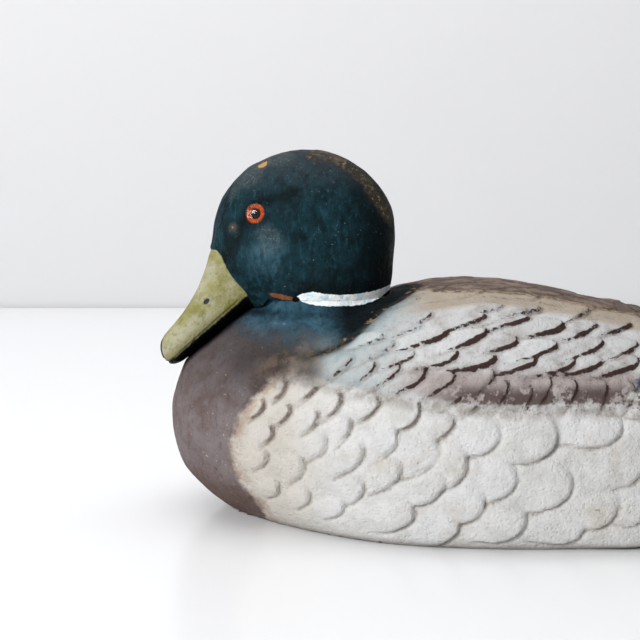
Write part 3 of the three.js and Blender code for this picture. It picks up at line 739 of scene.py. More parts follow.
def dress_body(body):
    """Moves the smooth body's points into the embossed, lumpy, worn surface."""
    p = points_of(body)
    x, y, z = p.T
    painted = np.abs(body_gap(x, y, z)) < ON_SURFACE
    seat = (z > SEAM_Z - 0.05) & (np.hypot(x - NECK_X, y) < SEAT_R + 0.05)
    index = np.flatnonzero(painted & (z > ON_SURFACE) & ~seat)
    q = p[index]
    qx, qy, qz = q.T
    zones = body_zones(p)
    zone = {name: values[index] for name, values in zones.items()}

    # Feathers, which fade out over the breast and the neck.
    height, seam, ink, tone, fold = emboss(q, all_feathers(), np.random.default_rng(5))
    on_neck = smooth(-8, 4, zone["neck"]) * smooth(-72, -86, qx) * smooth(80, 92, qz)
    calm = np.maximum(smooth(-7, 5, zone["breast"]), on_neck)
    height *= 1 - calm

    # The groove under the wing's edge, the crease behind the neck, and the wing's own thickness.
    groove = bell(zone["wing"] + 2.0, 3.4) * smooth(-128, -112, qx)
    groove *= smooth(120, 90, qx) * (1 - calm)
    crease = bell(zone["neck"] + 1.5, 3.2) * smooth(80, 88, qz) * smooth(-138, -126, qx)
    height -= 1.1 * groove + 1.0 * crease
    folded = smooth(-1, 6, zone["wing"]) * smooth(-132, -118, qx) * smooth(130, 60, qx)
    height += 0.9 * folded * (1 - calm)
    crumple = zone["band"] * smooth(-72, -48, qx)
    height += crumple * (0.7 * noise(q, 5.5, 41) + 0.35 * noise(q, 2.7, 42))

    # Lumps of the moulding, which are lower where the bill comes near, and the fullness under the jaw.
    throat = smooth(26, 18, np.abs(qy)) * smooth(-140, -150, qx) * smooth(66, 74, qz)
    lumps = 0.6 * noise(q, 21, 1) + 0.3 * noise(q, 8, 2) + 0.13 * noise(q, 3.2, 3)
    height += lumps * (1 - 0.8 * throat)
    under_jaw = bell(qx + 155.5, 4.5) + 0.5 * smooth(-176, -182, qx)
    height += 0.9 * under_jaw * smooth(24, 10, np.abs(qy)) * smooth(72, 78, qz) * smooth(106, 103, qz)

    # Nothing stands out at the ground or at the head's seat.
    on_seam = np.abs(qz - SEAM_Z) + 9 * (np.hypot(qx - NECK_X, qy) > SEAT_R + 4)
    height *= smooth(0, 4, qz) * smooth(0.8, 3.5, on_seam)
    normal = normals_of(body_gap, q)
    moved = q + normal * height[:, None]
    flat = normal * [1, 1, 0]
    moved -= flat * (FOOT_ROUND * np.clip(1 - qz / 2.5, 0, 1) ** 2)[:, None]
    moved += flat * (foot_spread(qx) * smooth(24, 3, qz))[:, None]
    p[index] = moved
    rim = np.flatnonzero((z <= ON_SURFACE) & (np.abs(hull_gap(x, y, z + 0.1)) < 0.3))
    flat = normals_of(hull_gap, p[rim] + [0, 0, 0.1]) * [1, 1, 0]
    p[rim] += flat * (foot_spread(x[rim]) - FOOT_ROUND)[:, None]
    put_points(body, p)
    put_some_layers(body, index, {
        "seam": (seam, 6), "ink": (ink * (1 - calm), 0), "tone": (tone, 0.5),
        "groove": (groove, 0), "crease": (crease, 0), "fold": (fold * (1 - calm), 0)})
    zones["collar"] = np.minimum(zones["collar"], 1.6 - zones["neck_r"])
    for name, values in zones.items():
        put_layer(body, name, values)
    put_layer(body, "painted", painted.astype(float))
    # How far each point is from the head, for the painted shade under it.
    put_layer(body, "shelter", head_gap(*p.T))
    shade(body)


def put_some_layers(made, index, layers):
    """Layers with values for some of a mesh's points, and one value at all of the others."""
    for name, (values, rest) in layers.items():
        layer = np.full(len(made.data.vertices), float(rest))
        layer[index] = values
        put_layer(made, name, layer)


# ---- the head's mesh

# The line through the head and the bill: place along it, x and height.
HEAD_SPINE = np.array([(0, -108, 134), (1, -124, 137), (2, -141, 133), (3, -157, 118),
                       (4, -172, 103.5), (5, -190, 85.5)])


def eye_place(side):
    """Where an eye sits on the head, and the way that it looks."""
    start = np.array([[EYE[0], 0.0, EYE[1]]])
    at = out_to(head_gap, start, np.array([[0.0, side, 0.0]]))
    return at[0], normals_of(head_gap, at)[0]


def eye_matrix(side):
    """Takes a piece turned about Z to an eye's place."""
    at, out = eye_place(side)
    turn = Vector((0, 0, 1)).rotation_difference(Vector(out)).to_matrix().to_4x4()
    return Matrix.Translation(Vector(at) * MM) @ turn


def head_solid():
    t = np.linspace(0, HEAD_SPINE[-1, 0], 160)
    spine = np.stack([along(HEAD_SPINE, 1, t), 0 * t, along(HEAD_SPINE, 2, t)], axis=1)
    ahead = unit(np.gradient(spine, axis=0))
    up = np.stack([ahead[:, 2], 0 * ahead[:, 0], -ahead[:, 0]], axis=1)
    rows = fan_frames(spine, ahead, up, 80, 22)
    head = face_out(new_mesh("decoy_head", *wrap(head_gap, rows, RING_POINTS)))
    combine(head, drum(HEAD_FOOT_R, 40, SEAM_Z + SEAM_OPEN, NECK_X, 120), "DIFFERENCE")
    combine(head, drum(4.3, 90, 148.3, NECK_X, 24), "DIFFERENCE")
    for side in (-1, 1):
        for hole in (drum(EYE[2] + 0.25, -3, 8, sides=56), drum(0.9, -14, 0, sides=12)):
            hole.data.transform(eye_matrix(side))
            combine(head, hole, "DIFFERENCE")
    return head


# The bill's border with the face, as height and x: what is ahead of it is bill.
BILL_BORDER = np.array([(100, -152), (108, -156), (110.4, -157.3), (117, -163), (124, -168),
                        (131, -172.2), (134, -180), (150, -190)])
EYE_CHANNEL = [(-171, 122), (-165.5, 134), (-160.5, 142.5), (-156.5, 149), (-149, 155.5),
               (-142, 157.5), (-133, 160)]
# The worn line over the back of the head.
NAPE_WEAR = [(-124, 178), (-116, 177), (-107, 172), (-99, 165), (-92, 154), (-88, 147)]
# Chips through to bare wood: x, side, height and radius.
CHIPS = ((-149, -9, 173, 2.8), (-164, -18, 143, 0.6), (-128, 14, 177, 2.2), (-104, 25, 150, 1.0))
# Paler scuffs: x, side, height and radius.
SCUFFS = ((-163, -11, 160, 4), (-163, -18, 142, 3), (-146, -28, 137, 7), (-155, -12, 168, 8),
          (-148, 26, 140, 7), (-140, -10, 176, 7))
# Middle of the painted highlight on the cheek: x and height.
CHEEK_HIGHLIGHT = (-147, 131)
NOSTRIL = (17.5, 6.4, 2.0, 1.2)  # along the bill, above its axis, half-length and half-height


def far_from_line(u, v, line):
    """Distance from points to a line of straight pieces, in the plane."""
    nearest = np.full(len(u), 99.0)
    for (u0, v0), (u1, v1) in zip(line[:-1], line[1:]):
        du, dv = u1 - u0, v1 - v0
        t = np.clip(((u - u0) * du + (v - v0) * dv) / (du * du + dv * dv), 0, 1)
        nearest = np.minimum(nearest, np.hypot(u - u0 - t * du, v - v0 - t * dv))
    return nearest


def far_from_spots(p, spots):
    """Distance from points to the nearest of some balls, up to 9 mm."""
    nearest = np.full(len(p), 9.0)
    for x, y, z, r in spots:
        nearest = np.minimum(nearest, np.linalg.norm(p - [x, y, z], axis=1) - r)
    return nearest


def dress_head(head):
    """Models the bill, the eye's hollow, the wear and the lumps of the head, and marks its zones."""
    p = points_of(head)
    x, y, z = p.T
    painted = np.abs(head_gap(x, y, z)) < ON_SURFACE
    foot = (z < SEAM_Z + SEAM_OPEN + 0.05) & (np.hypot(x - NECK_X, y) < HEAD_FOOT_R)
    index = np.flatnonzero(painted & ~foot)
    q = p[index]
    qx, qy, qz = q.T
    side = np.abs(qy)
    s, rise = bill_place(qx, qz)
    bill = np.minimum(along(BILL_BORDER, 1, qz) - qx, 131.0 - qz)
    on_bill = smooth(-0.5, 0.5, bill)
    under_bill = BILL_EDGE - 1.6 + 0.045 * s - rise

    # Lumps, and the bill's raised border.
    grain = q * [1.0, 1.0, 0.55]
    lumps = 0.5 * noise(q, 17, 31) + 0.3 * noise(grain, 6, 32) + 0.14 * noise(grain, 2.6, 33)
    height = lumps * mix(1.0, 0.3, on_bill)
    lip = mix(0.45, -0.35, smooth(-0.8, 0.8, bill))
    height += lip * smooth(16, 4, np.abs(bill))

    # The hollow that runs past the eye, and the lid around the glass.
    channel = np.where(side > 8, far_from_line(qx, qz, EYE_CHANNEL), 99.0)
    height -= 1.3 * bell(channel, 4.4) * (1 - on_bill)
    eye_far = np.full(len(q), 99.0)
    for eye_side in (-1, 1):
        at, _ = eye_place(eye_side)
        eye_far = np.minimum(eye_far, np.linalg.norm(q - at, axis=1))
    height += 0.8 * bell(eye_far - EYE[2] - 1.3, 1.1)

    # The bill's mouth line, nostrils, nail and ridge.
    mouth = bell(rise - BILL_EDGE + 1.9 - 0.03 * s, 0.6) * smooth(2, 8, s) * on_bill
    height -= 0.8 * mouth
    nostril = np.hypot((s - NOSTRIL[0]) / NOSTRIL[2], (rise - NOSTRIL[1]) / NOSTRIL[3])
    height -= 1.0 * smooth(1.3, 0.4, nostril) * (side > 4)
    nail = np.hypot((s - BILL_LENGTH + 1.5) / 4.6, qy / 4.6)
    height += 0.35 * smooth(1.15, 0.8, nail) * (rise > 0)
    ridge = bell(qy, 2.6) * smooth(4, 12, s) * smooth(46, 34, s) * (rise > 0)
    height -= 0.4 * ridge * on_bill

    # Chips in the surface, and zones that are only painted.
    chip = far_from_spots(q, CHIPS)
    height -= 0.3 * smooth(0.6, -0.6, chip)
    scuff = far_from_spots(q, SCUFFS)
    cheek = np.hypot(qx - CHEEK_HIGHLIGHT[0], qz - CHEEK_HIGHLIGHT[1])
    wear = far_from_line(qx, qz, NAPE_WEAR) + 0.55 * np.maximum(side - 16, 0)
    on_seam = np.abs(qz - SEAM_Z) + 9 * (np.hypot(qx - NECK_X, qy) > HEAD_FOOT_R + 0.5)
    height *= smooth(0.8, 3.5, on_seam)
    p[index] = q + normals_of(head_gap, q) * height[:, None]
    put_points(head, p)
    put_some_layers(head, index, {
        "bill": (bill, -9), "under_bill": (under_bill, -9), "nostril": (nostril, 9),
        "nail": (np.where(rise > -1, nail, 9), 9), "channel": (channel, 99),
        "chip": (chip, 9), "scuff": (scuff, 9), "wear": (wear, 99), "cheek": (cheek, 99)})
    put_layer(head, "painted", painted.astype(float))
    put_layer(head, "collar", collar_at(x, z))
    # How far each point is from the body, for the painted shade near it.
    put_layer(head, "shelter", body_gap(*p.T))
    shade(head)


# ---- node helpers


SHINE = "Specular IOR Level"


def tint(color):
    """Three numbers are a screen colour from 0 to 255; four are a linear one."""
    if len(color) == 4:
        return color
    v = np.array(color) / 255
    return (*np.where(v <= 0.04045, v / 12.92, ((v + 0.055) / 1.055) ** 2.4).tolist(), 1.0)


class Field:
    """A node's output, which plain arithmetic works on."""

    def __init__(self, paint, socket):
        self.paint, self.socket = paint, socket

    def __add__(self, other):
        return self.paint.math("ADD", self, other)

    def __sub__(self, other):
        return self.paint.math("SUBTRACT", self, other)

    def __rsub__(self, other):
        return self.paint.math("SUBTRACT", other, self)

    def __mul__(self, other):
        return self.paint.math("MULTIPLY", self, other)

    def __truediv__(self, other):
        return self.paint.math("DIVIDE", self, other)

    __radd__ = __add__
    __rmul__ = __mul__

    def coat(self, color, share):
        """This colour with another one over a share of it."""
        return self.paint.mix(self, color, share)


class Paint:
    """A material's node tree, with short calls for what the paints need."""

    def __init__(self, name, rough=0.6, metal=0.0, **inputs):
        self.material = bpy.data.materials.new(name)
        self.material.use_nodes = True
        self.tree = self.material.node_tree
        self.shader = self.tree.nodes["Principled BSDF"]
        self.fill(self.shader, {"Roughness": rough, "Metallic": metal,
                                SHINE: 0.5 if metal else 0.06, **inputs})
        self.where = Field(self, self.tree.nodes.new("ShaderNodeTexCoord").outputs["Object"])

    def fill(self, node, inputs):
        for key, value in inputs.items():
            if isinstance(value, Field):
                self.tree.links.new(value.socket, node.inputs[key])
            else:
                node.inputs[key].default_value = value

    def node(self, kind, inputs, output=0, **settings):
        """A new node with these values or fields on its inputs; gives the field of one output."""
        made = self.tree.nodes.new(kind)
        for key, value in settings.items():
            setattr(made, key, value)
        self.fill(made, inputs)
        return Field(self, made.outputs[output])

    def layer(self, name):
        return self.node("ShaderNodeAttribute", {}, "Fac", attribute_name=name)

    def math(self, how, *values):
        return self.node("ShaderNodeMath", dict(enumerate(values)), operation=how)

    def most(self, a, b):
        return self.math("MAXIMUM", a, b)

    def step(self, value, low, high, to_low=0.0, to_high=1.0):
        inputs = dict(enumerate((value, low, high, to_low, to_high)))
        return self.node("ShaderNodeMapRange", inputs, interpolation_type="SMOOTHSTEP")

    def stretch(self, scale, turn=(0, 0, 0)):
        return self.node("ShaderNodeMapping", {"Vector": self.where, "Scale": scale, "Rotation": turn})

    def noise(self, size_mm, detail=4, rough=0.55, vector=None, distort=0.0):
        """Noise from 0 to 1 with features of about this size."""
        inputs = {"Vector": vector or self.where, "Scale": 1 / (size_mm * MM), "Detail": detail,
                  "Roughness": rough, "Distortion": distort}
        return self.node("ShaderNodeTexNoise", inputs, "Fac")

    def cells(self, size_mm):
        inputs = {"Vector": self.where, "Scale": 1 / (size_mm * MM)}
        return self.node("ShaderNodeTexVoronoi", inputs, "Distance", feature="F1")

    def mix(self, a, b, share):
        a, b = (c if isinstance(c, Field) else tint(c) for c in (a, b))
        return self.node("ShaderNodeMix", {"Factor": share, 6: a, 7: b}, 2, data_type="RGBA")

    def bump(self, height, depth_mm):
        return self.node("ShaderNodeBump", {"Strength": 1.0, "Distance": depth_mm * MM, "Height": height})

    def finish(self, color, rough, normal=None):
        self.fill(self.shader, {"Base Color": color, "Roughness": rough})
        if normal is not None:
            self.fill(self.shader, {"Normal": normal})
        return self.material


def pulp_bump(m, depth=0.6):
    """The pebbly, slightly fibrous face of moulded paper fibre."""
    lumps = m.noise(2.4, 4, 0.62)
    grit = m.noise(0.7, 3, 0.7)
    pits = m.step(m.cells(1.9), 0.0, 0.5)
    height = lumps + grit * 0.4 + pits * 0.3
    return m.bump(height, depth)


def places(m):
    """X, Y and Z in mm."""
    return tuple(m.node("ShaderNodeSeparateXYZ", {0: m.where}, axis) / MM for axis in "XYZ")


def spot(m, x, z, at, high, long, tall, ragged):
    """1 within a small ragged oval on the side, 0 outside it."""
    u = (x - at) / long
    v = (z - high) / tall
    far = m.math("SQRT", u * u + v * v)
    return m.step(far + ragged, 1.15, 0.85)


def shared_marks(m, color, where, fine, patch, bare):
    """What crosses from the neck to the head: the brushed white ring with a faint blue stain, and the bare
    wood at the front of the seam on the left, with a spot of painted shade behind it for the seam's dark
    gap.
    Cut faces stay bare."""
    x, y, z = where
    fray = fine - 0.5
    white = m.mix((243, 246, 246), (186, 214, 224), m.step(patch, 0.47, 0.66))
    color = color.coat(white, m.step(m.layer("collar") + fray * 1.7, 0.0, 0.3))
    left = m.step(y, -8, -12)
    ragged = fray * 0.9
    level = z + (x + 139) * 0.17
    stick = spot(m, x, level, -139, 109.4, 7, 1.2, ragged)
    color = color.coat(m.mix((150, 92, 58), (62, 38, 28), fine), left * stick)
    # Painted shade: a near-black spot for the dark gap of the open seam.
    color = color.coat((12, 10, 10), left * spot(m, x, z, -132.6, 108.4, 2.0, 1.3, ragged))
    return m.mix(bare, color, m.step(m.layer("painted"), 0.05, 0.3))


# ---- body paint


def body_paint():
    m = Paint("weathered_body_paint", 0.8)
    x, y, z = places(m)
    broad = m.noise(26, 4, 0.6)
    patch = m.noise(9, 5, 0.65)
    fine = m.noise(2.6, 4, 0.65)
    fray = fine - 0.5
    grit = m.noise(0.9, 3, 0.7)
    tone, seam, ink, down, in_wing = (m.layer(name) for name in ("tone", "seam", "ink", "down", "wing"))
    ragged = (patch - 0.5) * 7.0 + fray * 4.0

    # Flank: off-white, creamier near the breast, with painted soft shade under each scale's edge.
    flank = m.mix((207, 206, 204), (193, 192, 189), m.step(patch, 0.36, 0.66))
    flank = flank.coat((212, 213, 218), m.step(tone, 0.5, 0.9) * 0.3)
    cream = m.step(x + ragged * 2.5, -104, -146)
    cream = m.most(cream, m.step(broad, 0.54, 0.7) * 0.7)
    flank = flank.coat((182, 172, 158), cream * 0.55)
    # Painted shade in the fold under each feather's edge.
    under = m.step(m.layer("fold") + fray * 0.7, 0.35, 1.0)
    under *= m.step(patch, 0.34, 0.6, 0.1, 0.65)
    flank = flank.coat((136, 125, 114), under)
    stain = m.step(seam + fine * 1.2, 1.9, 0.7) * m.step(ink, 0.2, 0.8)
    flank = flank.coat((96, 78, 68), stain * 0.85)

    # Wing: pale grey, blue at the front, with dark brown along each feather's lower edge.
    blue = m.step(x + z * -0.6 + ragged * 2.6, -124, -166)
    wing = m.mix((186, 186, 186), (160, 155, 152), m.step(patch, 0.42, 0.7))
    wing = wing.coat((142, 158, 160), blue * m.step(patch, 0.3, 0.6, 0.95, 0.35))
    teal = m.step(m.layer("neck") + ragged, -16, -2) * m.step(z, 84, 96)
    wing = wing.coat((74, 100, 110), teal * 0.8)
    wing = wing.coat((206, 208, 208), m.step(tone, 0.55, 0.9) * 0.45)
    beige = m.step(down + ragged * 0.5, 52, 44) * m.step(x, -90, -66)
    wing = wing.coat((158, 145, 128), beige * 0.85)
    # The same painted shade under each wing feather's edge.
    wing = wing.coat((112, 98, 92), under * 0.6)
    band = m.layer("band") + fray * 0.9
    wing = wing.coat((150, 138, 134), m.step(band, 0.15, 1.0) * 0.85)
    blotch = m.step(band, 0.3, 0.8) * m.step(patch + fine * 0.4, 0.6, 0.7)
    blotch *= m.step(in_wing + ragged * 0.5, 11.0, 5.0)
    wing = wing.coat((76, 63, 62), blotch * m.step(x, -76, -52, 0.0, 0.9))
    width = ink * (0.15 + patch * 1.5)
    line = seam + fray * 1.8
    line = m.step(line - width, 0.2, -0.3)
    line *= m.step(grit + patch * 0.5, 0.44, 0.52, 0.55, 1.0)
    brown = m.mix((74, 56, 52), (50, 38, 38), fine)
    wing = wing.coat(brown, line * m.step(ink, 0.08, 0.3))
    peel = m.step(seam + fine * 3.0, 3.4, 2.0) * m.step(grit + fine, 1.12, 1.2)
    wing = wing.coat((88, 72, 64), peel * m.step(x, -70, -40))

    # Back: dull brown along the ridge, mottled, with lighter scuffs at its edge.
    back = m.mix((96, 84, 77), (134, 118, 106), m.step(patch + broad * 0.8, 0.8, 1.05))
    back = back.coat((72, 60, 53), m.step(fine, 0.54, 0.7) * 0.6)
    ridge = m.layer("ridge") + ragged * 0.8
    scuff = m.step(ridge, -4.0, 0.0) * m.step(ridge, 7.0, 2.0)
    back = back.coat((160, 142, 118), scuff * m.step(fine, 0.42, 0.6))
    back = back.coat((52, 42, 38), m.step(seam + fine, 1.6, 0.6) * 0.5)
    upper = m.mix(wing, back, m.step(ridge, -1.6, 1.6))

    # Speculum on the folded wing: blue between black and white bars, flaked.
    slanted = x + in_wing * -0.9 + ragged
    along_wing = m.step(slanted, 10, 13) * m.step(slanted, 58, 55)
    across = in_wing + ragged * 0.3
    flake = 1.0 - m.step(patch + fine * 0.45, 0.7, 0.84)
    for paint, low, high in (((208, 207, 202), 2.5, 24), ((38, 35, 36), 5.5, 21), ((50, 60, 96), 8.2, 18)):
        bar = m.step(across, low, low + 1.4) * m.step(across, high, high - 1.4)
        upper = upper.coat(paint, bar * along_wing * flake * 0.9)
    edge = in_wing + ragged * 0.4
    side = m.mix(flank, upper, m.step(edge, -2.4, 1.6))
    peeled = m.step(m.math("ABSOLUTE", edge + 0.6), 3.4, 0.6) * m.step(grit + fine, 1.1, 1.2)
    side = side.coat((84, 68, 62), peeled * m.step(x, -66, -40))

    # Stern: black rump and under the tail, pale tail feathers.
    stern = m.mix((40, 38, 39), (70, 63, 59), m.step(patch, 0.5, 0.7))
    rear = m.step(x + z * -0.55 + ragged * 1.2, 72, 77)
    side = side.coat(stern, rear * m.step(in_wing, 2.0, -2.0))
    rump = m.step(x + ragged * 1.2, 106, 112) * m.step(down + ragged, 34, 29)
    side = side.coat(stern, rump)
    tail = m.mix((206, 200, 190), (120, 106, 96), m.step(seam + fine, 2.0, 0.8) * 0.9)
    on_tail = m.step(x + ragged * 0.8, 160, 165) * m.step(z, 66, 70)
    side = side.coat(tail, on_tail)

    # Breast: dull purple-brown, scuffed and dusted with white.
    breast = m.mix((112, 102, 103), (98, 84, 80), m.step(patch, 0.4, 0.66))
    breast = breast.coat((124, 115, 115), m.step(broad, 0.48, 0.66) * 0.6)
    streak = m.noise(2.8, 4, 0.6, m.stretch((1.0, 1.0, 0.35)))
    breast = breast.coat((78, 66, 64), m.step(streak, 0.54, 0.68) * 0.5)
    brown_low = m.step(z + ragged * 1.5, 30, 14)
    breast = breast.coat((92, 72, 62), brown_low * 0.6)
    dust = m.step(m.noise(1.5, 2, 0.5) + broad * 0.35, 0.9, 0.95)
    breast = breast.coat((190, 186, 182), dust * 0.7)
    # Darker towards the top of the breast: painted shade under the bill and head, and partly the breast's
    # darker brown top.
    high = m.step(z + ragged * 1.5, 50, 84) * m.step(x, -186, -150, 0.6, 1.0)
    breast = breast.coat((54, 50, 50), high * 0.85)
    border = m.layer("breast") + ragged
    rusty = m.step(border, -7.0, -1.0) * m.step(patch, 0.36, 0.6)
    side = side.coat((148, 120, 98), rusty * m.step(in_wing, 3.0, -2.0, 0.0, 0.6))
    color = m.mix(side, breast, m.step(border, -2.0, 2.5))
    murk = m.step(z + ragged, 68, 80) * m.step(x + ragged * 0.8, -114, -126)
    murk *= m.step(m.layer("breast") + ragged, 16, 4)
    mud = m.mix((92, 80, 70), (60, 54, 50), m.step(patch, 0.4, 0.6))
    color = color.coat(mud, murk * 0.9)

    # Neck: the head's blue-green runs down into the breast, with painted shade in the crease beside it and
    # on its rear under the head.
    neck = m.mix((38, 68, 82), (58, 90, 106), m.step(patch, 0.38, 0.66))
    neck = neck.coat((30, 44, 50), m.step(streak, 0.52, 0.66) * 0.55)
    neck_edge = m.layer("neck") + ragged * 0.7
    fall = m.step(z + ragged * 1.5 + x * 0.12, 68, 84)
    color = color.coat(neck, m.step(neck_edge, -3.5, 3.0) * fall)
    # Painted shade in the crease between the neck and the shoulder, with some olive-brown paint in it.
    fold = m.layer("crease") * m.step(patch, 0.25, 0.5, 0.6, 1.0)
    color = color.coat(m.mix((26, 30, 30), (74, 62, 48), m.step(fine, 0.45, 0.6)), fold)
    # Painted shade: the rear of the neck, under the head's overhang, is painted near black.
    shade = m.step(x + ragged * 1.2, -122, -107) * m.step(neck_edge, -5.0, 3.0)
    color = color.coat((5, 8, 10), shade * fall * 0.96)
    tan = m.step(m.layer("crease"), 0.25, 0.55) * m.step(patch + fine * 0.4, 0.76, 0.84)
    color = color.coat((146, 124, 92), tan * 0.65)

    # Bare fibre where the paint has gone, darker in the groove under the wing and towards the ground, and
    # painted shade near the head.
    chip = m.step(patch + fine * 0.35 + broad * 0.25, 1.0, 1.03)
    color = color.coat((142, 124, 102), chip * 0.7)
    groove_darkening = m.layer("groove") * m.step(patch, 0.34, 0.6, 0.1, 0.8)
    color = color.coat((112, 98, 88), groove_darkening * 0.6)
    foot = m.step(z + ragged * 0.5, 5.0, 0.5)
    color = color.coat((112, 100, 90), foot * 0.5)
    # Painted shade on the neck and breast near the head and bill, darkest where they come closest.
    under_head_shade = m.step(m.layer("shelter") + ragged, 10.0, 1.0) * m.step(z, 104, 100)
    color = color.coat((8, 9, 10), under_head_shade * m.step(m.layer("shelter"), 12.0, 0.5, 0.2, 0.97))
    color = shared_marks(m, color, (x, y, z), fine, patch, m.mix((140, 112, 82), (112, 88, 64), patch))
    rough = m.step(fine, 0.3, 0.7, 0.72, 0.9)
    return m.finish(color, rough, pulp_bump(m, 0.85))


# ---- head paint


def head_paint():
    m = Paint("weathered_head_paint", 0.55, **{SHINE: 0.05})
    x, y, z = places(m)
    broad = m.noise(22, 4, 0.6)
    patch = m.noise(7, 5, 0.65)
    fine = m.noise(2.2, 4, 0.65)
    fray = fine - 0.5
    grit = m.noise(0.8, 3, 0.7)
    streak = m.noise(2.4, 4, 0.6, m.stretch((1.0, 1.0, 0.4), (0, 0.35, 0)))

    green = m.mix((12, 32, 37), (22, 50, 58), m.step(patch, 0.35, 0.65))
    green = green.coat((36, 68, 80), m.step(streak, 0.5, 0.68) * 0.6)
    green = green.coat((9, 18, 21), m.step(broad, 0.5, 0.36) * 0.6)
    # Painted highlight: a paler blue patch on each cheek below the eye.
    cheek = m.layer("cheek") + (patch - 0.5) * 18.0
    green = green.coat((58, 90, 104), m.step(cheek, 15.0, 2.0) * m.step(streak, 0.35, 0.6, 0.25, 0.8))
    # Painted sheen: the top of the crown is paler and greyer.
    crown_sheen = m.step(z + patch * 12.0, 160, 182) * m.step(fine, 0.35, 0.6, 0.3, 0.85)
    green = green.coat((50, 56, 61), crown_sheen)
    # Painted shade in the hollow that runs past the eye.
    dark = m.step(m.layer("channel") + fine * 2.0, 6.0, 1.6)
    green = green.coat((7, 13, 15), dark * 0.7)
    # Painted shade: the back of the head is painted near black.
    nape_shade = m.step(x + patch * 14.0, -108, -84)
    green = green.coat((6, 10, 11), nape_shade * 0.85)
    pits = m.step(grit + fine * 0.5, 0.62, 0.5)
    green = green.coat((8, 15, 18), pits * 0.55)
    # Painted shade on the head where it comes near the body: under the jaw and the bill, and at its foot.
    low = m.step(m.layer("shelter") + patch * 8.0, 11.0, 4.0) * 0.75
    green = green.coat((7, 12, 14), low)

    # Rubbed along the back of the head, chips, and pale specks.
    worn = m.layer("wear") + (patch - 0.5) * 12.0
    green = green.coat((56, 48, 38), m.step(worn, 5.0, 0.5) * 0.8)
    rub = m.step(worn, 4.0, 0.0) * m.step(patch + fine * 0.6, 0.78, 0.9)
    green = green.coat(m.mix((132, 116, 94), (84, 72, 58), fine), rub * 0.85)
    bits = m.step(worn, 3.0, 0.0) * m.step(fine + grit * 0.5, 0.84, 0.92)
    green = green.coat((150, 136, 112), bits * 0.7)
    scuffed = m.layer("scuff") + (patch - 0.5) * 14.0
    flecks = m.step(grit + fine * 0.7, 0.92, 1.02, 0.15, 0.8)
    green = green.coat((96, 102, 102), m.step(scuffed, 2.0, -3.0) * flecks)
    chip = m.layer("chip") + fray * 3.0
    green = green.coat((80, 74, 64), m.step(chip, 2.4, 0.4) * 0.6)
    green = green.coat(m.mix((200, 160, 112), (140, 100, 68), fine), m.step(chip, 0.0, -0.4))
    specks = m.step(m.noise(1.4, 2, 0.5) + broad * 0.3, 0.86, 0.91)
    green = green.coat((104, 114, 114), specks * 0.6)

    # Bill: olive yellow with pale rubs, darker along its lower edge, a black nail, and a black underside
    # that is partly painted shade.
    olive = m.mix((146, 143, 98), (124, 120, 70), m.step(patch, 0.35, 0.65))
    olive = olive.coat((172, 169, 150), m.step(broad, 0.44, 0.6) * 0.65)
    olive = olive.coat((104, 102, 74), m.step(fine, 0.52, 0.68) * 0.5)
    near_edge = m.step(m.layer("under_bill"), -4.5, -0.5)
    olive = olive.coat((112, 106, 52), near_edge * 0.6)
    olive = olive.coat((58, 60, 62), m.step(m.layer("nostril") + fine * 0.3, 1.25, 0.9))
    nail = m.step(m.layer("nail") + fray * 0.5, 1.5, 1.3)
    olive = olive.coat((38, 35, 32), nail)
    # The underside painted black, which also stands in for the shade under the bill.
    black = m.step(m.layer("under_bill") + fray * 1.6, 0.3, 1.7)
    olive = olive.coat((6, 4, 4), black)
    border = m.layer("bill") + fray * 0.9
    color = m.mix(green, olive, m.step(border, -0.3, 0.3))

    color = shared_marks(m, color, (x, y, z), fine, patch, m.mix((150, 118, 84), (120, 94, 66), patch))
    on_bill = m.step(m.layer("bill"), -0.5, 0.5)
    rough = m.step(fine, 0.3, 0.7, 0.46, 0.64) + on_bill * -0.06
    return m.finish(color, rough, pulp_bump(m, 0.75))


# ---- smaller materials


def wood():
    m = Paint("worn_varnished_pine", 0.55)
    grain = m.noise(2.4, 5, 0.6, m.stretch((0.06, 1.0, 1.0)), 0.6)
    fine = m.noise(0.6, 4, 0.6, m.stretch((0.04, 1.0, 1.0)))
    patch = m.noise(30, 4, 0.6)
    color = m.mix((176, 140, 96), (128, 94, 58), m.step(grain, 0.38, 0.66))
    color = color.coat((96, 70, 46), m.step(fine, 0.55, 0.72) * 0.5)
    color = color.coat((92, 80, 66), m.step(patch, 0.5, 0.7) * 0.5)
    return m.finish(color, m.step(grain, 0.3, 0.7, 0.45, 0.65), m.bump(grain + fine, 0.2))


def metal(name, light, dark, rough):
    m = Paint(name, rough, 0.9)
    patch = m.noise(3.0, 5, 0.6)
    scratch = m.noise(0.5, 3, 0.6, m.stretch((1.0, 0.15, 1.0)))
    color = m.mix(light, dark, m.step(patch, 0.42, 0.68))
    return m.finish(color, m.step(patch, 0.3, 0.7, rough, rough + 0.25), m.bump(scratch, 0.05))


def lead():
    m = Paint("dull_cast_lead", 0.6, 0.5)
    patch = m.noise(6, 5, 0.6)
    color = m.mix((128, 130, 134), (84, 86, 90), m.step(patch, 0.4, 0.66))
    return m.finish(color, m.step(patch, 0.3, 0.7, 0.5, 0.75), m.bump(m.noise(1.5, 4), 0.3))


def leather():
    m = Paint("oiled_leather", 0.6)
    creases = m.cells(1.2)
    patch = m.noise(5, 4)
    color = m.mix((104, 70, 46), (66, 42, 28), m.step(patch, 0.4, 0.66))
    return m.finish(color, m.step(patch, 0.3, 0.7, 0.5, 0.7), m.bump(creases, 0.2))


